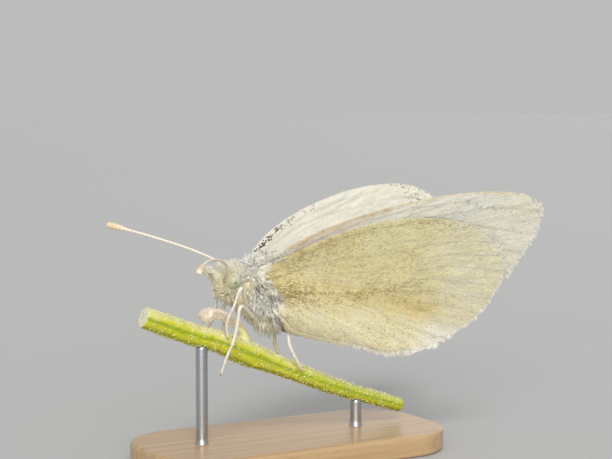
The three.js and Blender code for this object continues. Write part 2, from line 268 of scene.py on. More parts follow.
def scatter(cells, seed):
    """A fixed number from 0 to 1 for each whole-numbered cell."""
    mixed = (cells * np.array((73856093, 19349663, 83492791))).sum(axis=-1) + seed * 26544357
    mixed = (mixed ^ (mixed >> 13)) * 1274126177
    return ((mixed ^ (mixed >> 16)) & 0xFFFF) / 0xFFFF


def drift(points, seed=0):
    """Smooth noise from 0 to 1, about one swell to a unit, at numbers or places."""
    points = np.asarray(points, float).reshape(len(points), -1)
    points = np.pad(points, ((0, 0), (0, 3 - points.shape[1])))
    cells = np.floor(points).astype(np.int64)
    part = points - cells
    part = part * part * (3 - 2 * part)
    total = np.zeros(len(points))
    for corner in np.ndindex(2, 2, 2):
        share = np.prod(np.where(corner, part, 1 - part), axis=1)
        total += share * scatter(cells + corner, seed)
    return total


def step_lengths(line):
    """The length of each straight piece of a line."""
    return norm(np.diff(line, axis=0), axis=1)


def between(first, second, start, end, t):
    """The places between one at start and one at end."""
    return (first * (end - t) + second * (t - start)) / (end - start)


def smooth_route(joints, count):
    """Points evenly spaced along a smooth curve through the joints."""
    joints = np.asarray(joints, float)
    chain = np.vstack((2 * joints[:1] - joints[1:2], joints, 2 * joints[-1:] - joints[-2:-1]))
    knots = np.append(0.0, np.cumsum(step_lengths(chain) ** 0.5))
    dense = [joints[:1]]
    for i in range(1, len(chain) - 2):
        t = np.linspace(knots[i], knots[i + 1], 33)[1:, None]
        sides = [between(chain[j], chain[j + 1], knots[j], knots[j + 1], t) for j in (i - 1, i, i + 1)]
        bends = [between(sides[j], sides[j + 1], knots[i + j - 1], knots[i + j + 1], t) for j in (0, 1)]
        dense.append(between(*bends, knots[i], knots[i + 1], t))
    return evenly(np.vstack(dense), count)


def evenly(points, count):
    """The same line with count evenly spaced points."""
    lengths = np.append(0.0, np.cumsum(step_lengths(points)))
    places = np.linspace(0, lengths[-1], count)
    return columns(*(np.interp(places, lengths, column) for column in points.T))


def cubic_chain(*corners):
    """Points along cubic curves of four corners each, every one starting at the last one's end."""
    t = np.linspace(0, 1, 25)[:, None]
    weights = ((1 - t) ** 3, 3 * t * (1 - t) ** 2, 3 * t * t * (1 - t), t ** 3)
    starts = range(0, len(corners) - 1, 3)
    return np.vstack([sum(w * np.array(corners[i + j]) for j, w in enumerate(weights)) for i in starts])


def closed(loop):
    """A loop with its first point again at its end."""
    return np.vstack((loop, loop[:1]))


def square_to(runs):
    """Directions of a plane, each turned a quarter to its left."""
    return columns(-runs[:, 1], runs[:, 0])


def facing_of(loop):
    """The direction square to a closed loop at each of its points, on its left."""
    return unit(square_to(np.roll(loop, -1, axis=0) - np.roll(loop, 1, axis=0)))


def distance_to(points, line):
    """How far each point is from a line of straight pieces."""
    nearest = np.full(len(points), 1e9)
    for start, end in zip(line[:-1], line[1:]):
        run = end - start
        share = np.clip(((points - start) @ run) / max(run @ run, 1e-12), 0, 1)
        nearest = np.minimum(nearest, norm(points - start - share[:, None] * run, axis=1))
    return nearest


def inside_loop(points, loop):
    """Whether each point of a plane lies inside a closed loop."""
    crossed = np.zeros(len(points), bool)
    for (x0, y0), (x1, y1) in zip(loop, np.roll(loop, -1, axis=0)):
        if y0 != y1:
            spans = (points[:, 1] < y0) != (points[:, 1] < y1)
            meets = x0 + (points[:, 1] - y0) * (x1 - x0) / (y1 - y0)
            crossed ^= spans & (points[:, 0] < meets)
    return crossed


# ---- meshes


def corners_of(node):
    """A solid's lowest and highest corners, in millimetres."""
    return [np.array(corner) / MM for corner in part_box(node)]


def linked(name, data):
    """A new object in the scene."""
    made = bpy.data.objects.new(name, data)
    bpy.context.scene.collection.objects.link(made)
    return made


def make_piece(name, points, faces, finish, slot, stands_for=(), values=None, patches=None, smooth=True):
    """A mesh object from points in millimetres, riding on the part's one body.

    stands_for names the solids that it replaces, values are numbers that its finish reads, for each point or
    for all, and patches are the points' places on the bake map.
    """
    mesh = bpy.data.meshes.new(name)
    points = np.asarray(points, float)
    faces = np.asarray(faces, np.int32)
    mesh.vertices.add(len(points))
    mesh.vertices.foreach_set("co", (points * MM).ravel())
    mesh.loops.add(faces.size)
    mesh.loops.foreach_set("vertex_index", faces.ravel())
    mesh.polygons.add(len(faces))
    mesh.polygons.foreach_set("loop_start", np.arange(len(faces), dtype=np.int32) * 3)
    mesh.polygons.foreach_set("use_smooth", np.full(len(faces), smooth))
    mesh.update(calc_edges=True)
    for key, data in (values or {}).items():
        data = np.broadcast_to(data, len(points)).astype(np.float32)
        mesh.attributes.new(key, "FLOAT", "POINT").data.foreach_set("value", data)
    if patches is not None:
        layer = mesh.uv_layers.new(name="OFBake")
        layer.data.foreach_set("uv", patches[faces.ravel()].ravel())
    mesh.materials.append(finish)
    piece = linked(name, mesh)
    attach(piece, BODY)
    if stands_for:
        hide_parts(*stands_for)


def joined(shapes):
    """Several shapes, each its points and faces, as one."""
    starts = np.cumsum([0] + [len(points) for points, _ in shapes[:-1]])
    points = np.vstack([points for points, _ in shapes])
    faces = np.vstack([faces + start for start, (_, faces) in zip(starts, shapes)])
    return points, faces


def ring_faces(rings, sides):
    """Triangles of a closed skin over rings of points, then a pole for each end."""
    ring, side = np.meshgrid(np.arange(rings - 1), np.arange(sides), indexing="ij")
    here, beside = ring * sides + side, ring * sides + (side + 1) % sides
    quads = (here, beside, beside + sides, here, beside + sides, here + sides)
    skin = np.stack(quads, axis=-1).reshape(-1, 3)
    edge = np.arange(sides)
    start, end = rings * sides, rings * sides + 1
    last = (rings - 1) * sides
    front = columns(start, (edge + 1) % sides, edge)
    back = columns(end, last + edge, last + (edge + 1) % sides)
    return np.vstack((skin, front, back))


def route_frames(points, first=(0, 0, 1)):
    """A line's direction at each point, and two across it that don't twist."""
    along = unit(np.gradient(points, axis=0))
    across = np.empty_like(points)
    last = np.asarray(first, float)
    for i, direction in enumerate(along):
        last = last - direction * (last @ direction)
        last = last / norm(last)
        across[i] = last
    return along, across, np.cross(along, across)


def spokes_of(across, over, turns):
    """Directions across a line, each at its own turn about it."""
    return across * np.cos(turns)[..., None] + over * np.sin(turns)[..., None]


def rooted_round(route, radius, index, turn):
    """Places round a line at some of its points, with the way out and the way along."""
    along, across, over = (way[index] for way in route_frames(route))
    out = spokes_of(across, over, turn)
    return route[index] + out * radius[index, None], out, along


def tube(points, radius, sides, first=(0, 0, 1)):
    """A closed tube. radius holds a number for each point, or for each point and side."""
    _, across, over = route_frames(points, first)
    radius = np.broadcast_to(np.reshape(radius, (len(points), -1)), (len(points), sides))[..., None]
    spokes = spokes_of(across[:, None], over[:, None], np.arange(sides) * TAU / sides)
    rings = points[:, None] + radius * spokes
    return np.vstack((rings.reshape(-1, 3), points[:1], points[-1:])), ring_faces(len(points), sides)


def ball(centre, radii, rings=24, sides=40):
    """A closed rounded lump with its poles across the body."""
    centre, radii = np.asarray(centre, float), np.asarray(radii, float)
    rise = np.linspace(0, math.pi, rings + 2)[1:-1, None]
    turn = np.arange(sides)[None] * TAU / sides
    skin = np.stack(
        (np.sin(rise) * np.sin(turn), -np.cos(rise) + 0 * turn, np.sin(rise) * np.cos(turn)), axis=-1)
    poles = np.array(((0, -1.0, 0), (0, 1.0, 0)))
    return centre + np.vstack((skin.reshape(-1, 3), poles)) * radii, ring_faces(rings, sides)


def melded(shapes, voxel, smoothing):
    """One even skin over shapes that overlap: points, faces and outward directions."""
    points, faces = joined(shapes)
    mesh = bpy.data.meshes.new("meld")
    mesh.from_pydata(points.tolist(), [], faces.tolist())
    piece = linked("meld", mesh)
    for kind, settings in (
        ("REMESH", {"mode": "VOXEL", "voxel_size": voxel}),
        ("SMOOTH", {"iterations": smoothing}),
        ("TRIANGULATE", {"quad_method": "BEAUTY"}),
    ):
        modifier = piece.modifiers.new(kind, kind)
        for key, setting in settings.items():
            setattr(modifier, key, setting)
    made = piece.evaluated_get(bpy.context.evaluated_depsgraph_get()).to_mesh()
    skin = np.empty((len(made.vertices), 3))
    made.vertices.foreach_get("co", skin.ravel())
    normals = np.empty_like(skin)
    made.vertices.foreach_get("normal", normals.ravel())
    faces = np.empty((len(made.polygons), 3), np.int32)
    made.loops.foreach_get("vertex_index", faces.ravel())
    bpy.data.objects.remove(piece)
    bpy.data.meshes.remove(mesh)
    return skin, faces, normals


def repeated(faces, count, points):
    """The faces of many like shapes, each with so many points."""
    return (faces + np.arange(count)[:, None, None] * points).reshape(-1, 3)


def hair_faces(rings):
    """The triangles of one hair: its walls, its tip and its root."""
    walls = []
    for ring in range(rings - 1):
        for side in range(3):
            here, beside = ring * 3 + side, ring * 3 + (side + 1) % 3
            walls += [(here, beside, beside + 3), (here, beside + 3, here + 3)]
    last = rings * 3
    tip = [(last - 3 + side, last - 3 + (side + 1) % 3, last) for side in range(3)]
    return np.array(walls + tip + [(0, 2, 1)])


def hairs(roots, aims, leans, lengths, widths, spots, rings=3):
    """Closed three-sided hairs that taper to a point: points, faces, place along each hair, patches.

    leans is how far each tip is carried off the straight, and spots are the roots on the bake map.
    """
    count = len(roots)
    across = unit(np.cross(aims, leans + np.array((1e-3, 2e-3, 1e-3))))
    over = np.cross(across, aims)
    share = np.arange(rings) / rings
    middle = (roots[:, None] + aims[:, None] * (lengths[:, None] * share)[..., None]
              + leans[:, None] * (share ** 2)[:, None])
    radius = widths[:, None] / 2 * (1 - share) ** 0.6
    spokes = spokes_of(across[:, None], 0.7 * over[:, None], TAU * (np.arange(3) / 3 + 0.25))
    skin = middle[:, :, None] + radius[..., None, None] * spokes[:, None]
    tips = roots + aims * lengths[:, None] + leans
    points = np.concatenate((skin.reshape(count, -1, 3), tips[:, None]), axis=1)
    faces = repeated(hair_faces(rings), count, rings * 3 + 1)
    layout = [
        ((side - 1) * (0.5 - 0.3 * ring / rings), ring / rings - 0.5 - 0.15 * (side == 1))
        for ring in range(rings) for side in range(3)
    ]
    layout = np.array(layout + [(0, 0.5)])
    patches = (spots[:, None] + layout * PATCH).reshape(-1, 2)
    along = np.tile(np.append(np.repeat(share, 3), 1.0), count)
    return points.reshape(-1, 3), faces, along, patches


# One scale: its root, its two shoulders, its two tip corners and the middle of its back.
PLATE = np.array((
    (0, 0, -0.3), (-0.9, 0.45, 0.35), (-0.72, 1, 1),
    (0.72, 1, 1), (0.9, 0.45, 0.35), (0, 0.62, 1.25),
))
PLATE_FACES = np.array((
    (5, 1, 0), (5, 2, 1), (5, 3, 2), (5, 4, 3), (5, 0, 4), (0, 1, 2), (0, 2, 3), (0, 3, 4),
))


def plates(roots, along, across, out, lengths, widths, lifts, spots):
    """Closed flat scales: points, faces, patches. Each lies along its direction, tip raised."""
    x, y, z = PLATE.T
    points = (roots[:, None] + across[:, None] * (widths[:, None] / 2 * x)[..., None]
              + along[:, None] * (lengths[:, None] * y)[..., None]
              + out[:, None] * (lifts[:, None] * z)[..., None])
    faces = repeated(PLATE_FACES, len(roots), len(PLATE))
    patches = (spots[:, None] + columns(x * 0.5, y - 0.5) * PATCH).reshape(-1, 2)
    return points.reshape(-1, 3), faces, patches


# ---- finishes


def shader_sum(operation, turned=False):
    """An operator for sockets. When turned, the other value comes first."""

    def work(self, other):
        first, second = (other, self) if turned else (self, other)
        return self.finish.node("Math", {"operation": operation}, {0: first, 1: second})

    return work


class Socket:
    """A shader socket that can stand in a sum."""

    def __init__(self, finish, socket):
        self.finish, self.socket = finish, socket

    __add__, __radd__ = shader_sum("ADD"), shader_sum("ADD", turned=True)
    __sub__, __rsub__ = shader_sum("SUBTRACT"), shader_sum("SUBTRACT", turned=True)
    __mul__, __rmul__ = shader_sum("MULTIPLY"), shader_sum("MULTIPLY", turned=True)


class Finish:
    """One material under construction."""

    def __init__(self, name):
        self.material = bpy.data.materials.new(name)
        self.material.use_nodes = True
        self.tree = self.material.node_tree
        self.tree.nodes.clear()

    def node(self, kind, settings=None, values=None, output=0):
        """Adds a node, sets it up and gives back one of its outputs."""
        made = self.tree.nodes.new("ShaderNode" + kind)
        for key, setting in (settings or {}).items():
            setattr(made, key, setting)
        for key, value in (values or {}).items():
            if isinstance(value, Socket):
                self.tree.links.new(value.socket, made.inputs[key])
            else:
                made.inputs[key].default_value = value
        return Socket(self, made.outputs[output]) if made.outputs else None

    def value(self, name):
        """A number stored on the mesh."""
        return self.node("Attribute", {"attribute_name": name}, output=2)

    def place(self, across=1, along=1, up=1):
        """The surface's place in millimetres, stretched by a factor each way."""
        spot = self.node("TexCoord", output=3)
        stretch = (across / MM, along / MM, up / MM)
        return self.node("VectorMath", {"operation": "MULTIPLY"}, {0: spot, 1: stretch})

    def vector(self, x, y, z=0.0):
        """A place made of three numbers."""
        return self.node("CombineXYZ", None, {0: x, 1: y, 2: z})

    def noise(self, scale=1.0, detail=2.0, rough=0.5, at=None):
        """Cloudy noise from 0 to 1, over the surface's place unless another is given."""
        values = {"Vector": at or self.place(), "Scale": scale, "Detail": detail, "Roughness": rough}
        return self.node("TexNoise", None, values)

    def rise(self, value, low, high):
        """0 below low, 1 above high and smooth between them."""
        return self.node("MapRange", {"interpolation_type": "SMOOTHSTEP"}, {0: value, 1: low, 2: high})

    def mix(self, factor, first, second, blend="MIX"):
        """One colour laid over another."""
        first, second = (c if isinstance(c, Socket) else (*c, 1) for c in (first, second))
        settings = {"data_type": "RGBA", "blend_type": blend}
        return self.node("Mix", settings, {0: factor, 6: first, 7: second}, output=2)

    def layers(self, colour, *coats):
        """A colour with others laid over it, each given after how much of it shows."""
        for share, coat in coats:
            colour = self.mix(share, colour, coat)
        return colour

    def shaded(self, colour, shade):
        """A colour made lighter or darker by a number."""
        grey = self.node("CombineColor", None, {0: shade, 1: shade, 2: shade})
        return self.mix(1.0, colour, grey, "MULTIPLY")

    def done(self, colour, roughness, height=None, depth=0.05, **constants):
        """Ends the material in one shader. depth is the height's full rise in millimetres."""
        values = {"Base Color": colour, "Roughness": roughness}
        for key, value in constants.items():
            values[key.replace("_", " ")] = value
        if height is not None:
            bump = {"Height": height, "Distance": depth * MM, "Strength": 1.0}
            values["Normal"] = self.node("Bump", None, bump)
        shader = self.node("BsdfPrincipled", None, values)
        self.node("OutputMaterial", None, {"Surface": shader})
        return self.material


def deeper(colour, share):
    """A colour setting, darker or lighter by a share."""
    return tuple(min(1.0, share * part) for part in colour)


# ---- wings

FORE_OUTLINE = (
    cubic_chain((0.7, 0.1), (0.3, 0.1), (0, 0.2), (-0.05, 0.4), (0.9, 5.3), (14.5, 15.35), (19.25, 14.1)),
    cubic_chain((17.5, 0.1), (19.9, 2.4), (21.1, 6.4), (21, 9.6), (20.9, 11.8), (20.5, 14.1), (19.25, 14.1)),
)
HIND_OUTLINE = (
    cubic_chain((4.4, -4.8), (3.4, -4.1), (1.9, -2.6), (0.75, -2.3), (-0.1, -2), (-0.5, -0.8), (-0.5, -0.1),
                (4.4, 5.85), (7.6, 9.05), (15, 9.85)),
    cubic_chain((4.4, -4.8), (7, -4.1), (10, -3.75), (12.7, -3.65), (17.4, -1.9), (21.1, 0.6),
                (20.2, 6), (20, 8.6), (17.4, 9.85), (15, 9.85)),
)

# Veins on each sheet, from the root to the margin, with the way each one stands: 1 out, -1 in.
FORE_VEINS = (
    (-1, (0.3, 0.7), (3.4, 4.6), (7.6, 8.35), (11.4, 10.9)),
    (1, (0.3, 0.5), (2.6, 3.2), (5.05, 5.6), (9.1, 8.43), (11.8, 9.9), (15.36, 12.1), (19.6, 13.4)),
    (1, (7.4, 7.35), (10.3, 9.9), (13.6, 12.3)),
    (-1, (11.2, 9.55), (13.7, 9.86), (20.8, 11.4)),
    (-1, (12.4, 8.4), (18.2, 9.08), (20.9, 9.4)),
    (1, (12.1, 7.2), (16.5, 7.3), (20.9, 7.3)),
    (1, (11, 6.1), (15.8, 5.6), (20.5, 5)),
    (1, (7.9, 4), (13.5, 3.5), (19.5, 2.6)),
    (1, (0.3, 0.4), (4, 2.1), (7.9, 4), (11, 6.1), (12.1, 7.2), (12.4, 8.4), (11.2, 9.55)),
    (-1, (0.3, 0.25), (8, 1.1), (17.6, 0.95)),
)
HIND_VEINS = (
    (1, (0.2, -0.4), (2.4, 2.6), (6.2, 6.2), (11.2, 9)),
    (-1, (0.3, -0.8), (4, 2.1), (7.6, 4.2), (9.9, 5.4), (11.4, 6.6), (13.4, 7.7), (15.9, 8.8), (17.4, 9.1)),
    (-1, (9.9, 5.4), (11.7, 5.5), (14.05, 6.8), (16.7, 7.7), (18.8, 8.4)),
    (-1, (11.7, 5.5), (12.1, 4.6), (14.7, 5.8), (17.4, 6.6), (19.6, 7.1)),
    (1, (12.1, 4.6), (12, 3.6), (13.7, 4.2), (16.4, 5), (20.2, 5.8)),
    (1, (12, 3.6), (11.7, 2.35), (14.3, 3.2), (17, 3.9), (20.5, 4.5)),
    (1, (6.8, 0.2), (9, 0.1), (11.3, -0.1), (14.95, -0.4), (18.7, -0.1)),
    (1, (0.3, -1.1), (2.8, -0.84), (6.84, 0.2), (10, 1.6), (11.7, 2.35)),
    (-1, (0.6, -1.5), (7.2, -1.2), (10.65, -1.55), (14, -1.76), (15.6, -2.2)),
    (-1, (0.9, -1.8), (5, -1.9), (6.6, -2), (9.1, -2.9), (11.8, -3.4)),
)

# root is the point that the rows of scales run round, and middle how far out of its sheet the membrane lies.
WING_PLANS = {
    "fore": {"outline": FORE_OUTLINE, "veins": FORE_VEINS, "root": (-1.5, -1.2), "middle": 0.16},
    "hind": {"outline": HIND_OUTLINE, "veins": HIND_VEINS, "root": (-1.5, -1), "middle": -0.14},
}
VEIN_WIDTH = 0.11
PLEAT_WIDTH = 0.7
# Spacing of the membrane's points and along its veins, the lanes beside a vein, and the gap at the edge.
SHEET_SPACING = 0.24
VEIN_SPACING = 0.2
VEIN_LANES = (-0.13, -0.05, 0.05, 0.13)
EDGE_GAP = 0.09
# Rows of scales: how far from the root they run, over which angles and how much of each scale's size shows.
SCALE_REACH = (1.2, 27.5)
SCALE_SWEEP = (-1.2, 1.75)
SCALE_SHOWING = (0.62, 0.86)
SCALE_JITTER = 0.16
SCALE_LIFT = 0.022
WING_OVERLAP = 1.1  # how far one wing's scales run on under another
# Spacing of the fringe's scales in each of its layers, and of the layers.
FRINGE_SPACINGS = (0.05, 0.06, 0.08)
FRINGE_LAYER = 0.014


class Wing:
    """One wing laid out on its own sheet: x runs back along the body and y up the wing from its hinge."""

    def __init__(self, kind, place):
        self.kind, self.place = kind, place
        self.slot = kind + "wing"
        self.node = f"{kind}wing_{place}"
        self.side = SIDES[place]
        plan = WING_PLANS[kind]
        front, rear = plan["outline"]
        self.tips = evenly(np.vstack((front, rear[::-1], front[:1])), 500)[:-1]
        self.facing = facing_of(self.tips)
        self.fringe = self._fringe_share()
        self.edge = self._edge()
        self.veins = [(way, smooth_route(route, 30)) for way, *route in plan["veins"]]
        self.root = np.array(plan["root"])
        self.middle = plan["middle"]
        heights = np.linspace(-6, 16, 881)
        self.section = columns(heights, *self._section(heights))

    def _fringe_share(self):
        """How much of a fringe grows at each point of the outline."""
        x, y = self.tips.T
        if self.kind == "fore":
            outer = ease(17.5, 19.3, x) * ease(-0.2, 0.6, y)
            inner = ease(0.25, 0.12, y) * ease(1, 5, x)
            return np.maximum(outer, 0.45 * inner)
        outer = ease(15.5, 17.5, x + 0.35 * np.maximum(y - 6, 0))
        anal = ease(-1.9, -2.6, y) * ease(1.6, 4, x)
        return np.clip(np.maximum(outer, anal), 0, 1)

    def _edge(self):
        """The membrane's own worn edge, which leaves room for the fringe."""
        inset = 0.04 + look_of("wings").fringe_length / MM * 0.8 * self.fringe
        inset = inset + 0.1 * self.fringe * (drift(np.arange(len(inset)) * 0.23, 3) - 0.4)
        return self.tips - self.facing * inset[:, None]

    def _section(self, heights):
        """How far out, how far above the hinge and how steep the sheet is at each height."""
        lean = WING_LEAN[self.place]
        if self.kind == "fore":
            slope = np.full(len(heights), lean)
            start_out, start = HINGE_HALF_SPACING, 0.0
        else:
            bend = np.interp(heights, (HINDWING_UPRIGHT_BELOW, HINDWING_FLAT_ABOVE), (0, 1))
            tuck = np.interp(heights, (HINDWING_LOWEST, HINDWING_TUCK_BELOW), (1, 0))
            slope = lean * bend + HINDWING_TUCK * tuck
            start = HINDWING_FLAT_ABOVE
            start_out = HINGE_HALF_SPACING + WING_STEP / math.cos(lean) + start * math.sin(lean)
        step = heights[1] - heights[0]
        out = np.cumsum(np.sin(slope)) * step
        up = np.cumsum(np.cos(slope)) * step
        out += start_out - np.interp(start, heights, out)
        up += start * math.cos(lean) - np.interp(start, heights, up)
        return out, up, slope

    def turned(self, sheet):
        """Sheet places after the wing is drawn forward about its hinge."""
        return columns(*swung(*sheet.T, -WING_SWEEP[self.place]))

    def directions(self, sheet):
        """The ways back along the body, up the wing and out from the sheet, at each place."""
        slope = np.interp(self.turned(sheet)[:, 1], self.section[:, 0], self.section[:, 3])
        back = columns(1.0, 0, 0 * slope)
        up = columns(0, self.side * np.sin(slope), np.cos(slope))
        out = columns(0, self.side * np.cos(slope), -np.sin(slope))
        return [turn_from_body(way) for way in (back, up, out)]

    def relief(self, sheet):
        """Pleats along the veins, in millimetres out from the sheet."""
        total = 0.04 * (drift(sheet * 0.3, 5) - 0.5)
        for way, route in self.veins:
            total += way * 0.05 * bell(distance_to(sheet, route), PLEAT_WIDTH)
        return total

    def half(self, values):
        """Half the membrane's thickness, greater along veins and at the root."""
        skin = 0.03 * ease(0, 0.3, values["rim"]) + 0.008
        ridge = 0.045 + 0.06 * ease(6, 1, values["reach"])
        return skin + values["vein"] * ease(0, 0.5, values["rim"]) * ridge

    def draw_in(self, sheet):
        """How far the wing's root is drawn in to the chest."""
        x, y = sheet.T
        if self.kind == "fore":
            return 0.5 * ease(1.6, 0.1, y) * ease(4.5, 1.5, x)
        edge = distance_to(sheet, np.array(((-0.5, 0.3), (-0.3, -1.0), (0.75, -2.3), (1.5, -2.7))))
        return 0.85 * ease(1.7, 0, edge)

    def at(self, sheet, lift=0.0, relief=None):
        """Places on the wing, lift millimetres out from the middle of its membrane."""
        spots = self.turned(sheet)
        heights, *tables = self.section.T
        out, up, slope = (np.interp(spots[:, 1], heights, table) for table in tables)
        lift = lift + self.middle + (self.relief(sheet) if relief is None else relief)
        out = out - self.draw_in(sheet) + lift * np.cos(slope)
        return from_body(columns(spots[:, 0], self.side * out, up - lift * np.sin(slope)))

    def on_map(self, sheet):
        """Places on the wing's own flat map."""
        return (sheet + (1.5, 6)) / 24.0


def near(sheet, route, width):
    """1 along a route over the wing, falling smoothly to nothing past the width."""
    return bell(distance_to(sheet, smooth_route(route, 30)), width)


def hind_outer_marks(sheet, at, cloud, fine):
    """Yellow, golden at the root, dusted along the front and silky towards the body."""
    x, y = sheet.T
    outer = ease(13, 20, at["reach"])
    anal = ease(0.5, -0.7, y - 0.055 * x - 0.2 + 1.1 * ease(9, 2, x))
    low_cell = near(sheet, ((0.9, -1.6), (2.4, -1.2), (6.8, 0), (10.5, 0.9), (15, 1.3)), 1.3)
    disc = near(sheet, ((4, 2), (8, 3.4), (11, 4.2)), 0.9)
    humeral = near(sheet, ((-0.3, -1.6), (0.2, 0.4), (2.6, 3.2), (4.2, 4.6)), 1.1)
    costal = near(sheet, ((1.5, 2.2), (3.9, 4.6), (6.8, 7.2), (8.8, 8.2), (11.7, 9.2), (14.5, 9.5)), 0.75)
    costal = costal * (0.45 + 0.55 * ease(2, 7, x))
    streak_and_shade = near(sheet, ((2.6, -0.9), (6.8, 0.2), (10, 1.6), (12.8, 2.9)), 0.8)
    # A second band of dark scales along the root's lower edge beside the chest: partly the wing's own dark
    # flecks, partly painted shadow of the chest.
    streak_and_shade = streak_and_shade + 1.1 * near(sheet, ((0.7, -1.6), (2.2, -1.6), (4.6, -1.1)), 0.75)
    pale = near(sheet, ((3.6, 0.5), (7, 1.3), (10, 2)), 0.5)
    silk = np.clip(0.24 * anal * ease(2, 4, x) + 0.4 * ease(1.2, 0.2, at["rim"]) * outer, 0, 1)
    dusk = 0.12 + 0.26 * costal + 0.3 * streak_and_shade + 0.1 * disc + 0.38 * humeral + 0.02 * anal - 0.08 * outer
    return {
        "yellow": np.clip(0.76 - 0.4 * outer - 0.16 * anal + 0.3 * (cloud - 0.5), 0, 1),
        "gold": np.clip(0.78 * low_cell + 0.15 * disc + 0.62 * humeral, 0, 1) * (0.5 + 0.5 * fine),
        "silk": np.maximum.reduce((silk, 0.45 * pale, 0.6 * at["vein"] * np.maximum(anal, outer))),
        "dusk": np.clip(dusk, 0.01, 1) * (0.4 + 0.9 * ease(0.2, 0.7, 0.5 * fine + 0.5 * cloud)),
    }


def fore_outer_marks(sheet, at, cloud, fine):
    """Silky white, rosy below the front edge, with a few dark specks towards the tip."""
    x, _ = sheet.T
    rim = at["rim"]
    strip = ease(1.5 - 0.13 * x, 0.3, rim) * ease(9.6, 6, x)
    yellow = np.clip(0.06 + 0.1 * ease(12, 18, x) + 0.2 * (cloud - 0.5), 0, 1)
    apex = ease(0.9, 0.2, rim) * ease(17, 19, x)
    specks = near(sheet, ((12.2, 11.4), (15.7, 12.1), (16.2, 12.3)), 0.25)
    specks = specks + near(sheet, ((12.8, 10.5), (12.96, 9.97)), 0.3)
    specks = specks + near(sheet, ((16.2, 11.24), (18.4, 12.62)), 0.2)
    rooted = near(sheet, ((0.3, 0.4), (3, 2.2)), 0.8)
    dusk = np.clip(0.03 + 0.5 * specks + 0.25 * rooted + 0.22 * strip, 0, 1)
    return {
        "yellow": yellow,
        "gold": 0.5 * ease(0.3, 0.1, rim) * ease(18.5, 16, x),
        "rose": np.clip(strip * (0.75 + 0.6 * (fine - 0.4)), 0, 1),
        "silk": np.clip(0.3 * apex + 0.62 - 0.6 * yellow, 0, 1),
        "dusk": dusk * ease(0.2, 0.7, fine),
    }


def fore_inner_marks(sheet, at, cloud, fine):
    """White, with a speckled front edge, a dusky tip and one faint spot."""
    x, y = sheet.T
    costa = near(sheet, ((0.4, 1.45), (1.25, 2.75), (2.4, 4.3), (4.1, 6.2), (6.3, 8.3), (9, 10.4)), 0.42)
    costa = costa * ease(0.12, 0.22, at["rim"]) * (0.25 + 0.75 * ease(8, 3, x))
    rooted = near(sheet, ((0.2, 0.3), (2.6, 0.7)), 1.1)
    apex = ease(0.4, 2.2, y + 0.62 * (x - 12.9) - 13.6 + 1.3 * (cloud - 0.5)) * ease(11.5, 13.5, x)
    spot = np.exp(-((x - 15.2) ** 2 + (y - 6.5) ** 2) / 0.75)
    clumps = ease(0.47, 0.6, drift(columns(at["ray"] * 44, at["reach"] * 4.4), 13))
    dusk = 1.3 * costa * clumps + 0.5 * rooted * clumps + apex * (0.04 + 0.26 * fine) + 0.25 * spot
    return {
        "yellow": 0.04 + 0.05 * cloud, "rose": 0.12 * apex, "silk": 0.36 + 0.25 * cloud,
        "dusk": np.clip(dusk, 0, 1),
    }


def hind_inner_marks(sheet, at, cloud, fine):
    """White, with one faint spot and a dusting at the root."""
    x, y = sheet.T
    spot = np.exp(-((x - 11.6) ** 2 + (y - 8.1) ** 2) / 0.9)
    rooted = near(sheet, ((-0.2, -0.6), (3.5, -0.9)), 1.2)
    return {
        "yellow": 0.07 + 0.06 * cloud, "silk": 0.6 + 0.3 * cloud,
        "dusk": np.clip(0.5 * spot + 0.35 * rooted * ease(0.4, 0.7, fine), 0, 1),
    }


WING_MARKS = {
    ("hind", 1): hind_outer_marks, ("fore", 1): fore_outer_marks, ("fore", -1): fore_inner_marks,
    ("hind", -1): hind_inner_marks,
}


def wing_values(wing, sheet, face):
    """The markings at each place of a wing's outer (1) or inner (-1) face.

    yellow, gold, rose and silk say how much of each colour there is, and dusk how many scales are dark.
    ray and reach are the angle and distance from the wing's root, and rim the distance from its edge.
    """
    arm = sheet - wing.root
    vein = np.max([bell(distance_to(sheet, route), VEIN_WIDTH) for _, route in wing.veins], axis=0)
    at = {
        "ray": np.arctan2(arm[:, 1], arm[:, 0]), "reach": norm(arm, axis=1), "vein": vein,
        "rim": distance_to(sheet, closed(wing.tips)),
    }
    marks = WING_MARKS[wing.kind, face](sheet, at, drift(sheet * 0.9, 11), drift(sheet * 3.1, 12))
    return dict.fromkeys(("yellow", "gold", "rose", "silk", "dusk"), np.zeros(len(sheet))) | marks | at


def wing_finish(look):
    """Powdery scales: cream, white, yellow, gold and rose, dusted dark."""
    finish = Finish("wing_scales")
    ray, reach = finish.value("ray"), finish.value("reach")
    streaks = finish.noise(1.0, 3.0, 0.6, finish.vector(ray * 46, reach * 0.35))
    mottle = finish.noise(2.6, 3.0, 0.6)
    colour = finish.layers(
        look.cream,
        (finish.value("silk"), look.white),
        (finish.value("yellow") * (0.75 + 0.5 * mottle), look.yellow),
        (finish.value("gold") * (0.6 + 0.6 * mottle), look.gold),
        (finish.value("rose") * (0.5 + 0.7 * mottle), look.rose))
    shade = 0.8 + 0.17 * finish.rise(streaks, 0.3, 0.7) + 0.12 * finish.value("grain")
    # Darker along the veins: painted shade standing in for the shadows of the veins' relief.
    colour = finish.shaded(colour, shade - 0.1 * finish.value("vein"))
    colour = finish.mix(finish.value("dusk"), colour, look.dark)
    ridges = finish.noise(at=finish.vector(ray * 160, reach * 2.0))
    return finish.done(colour, 0.62, ridges, 0.012, Sheen_Weight=0.15, Specular_IOR_Level=0.3)


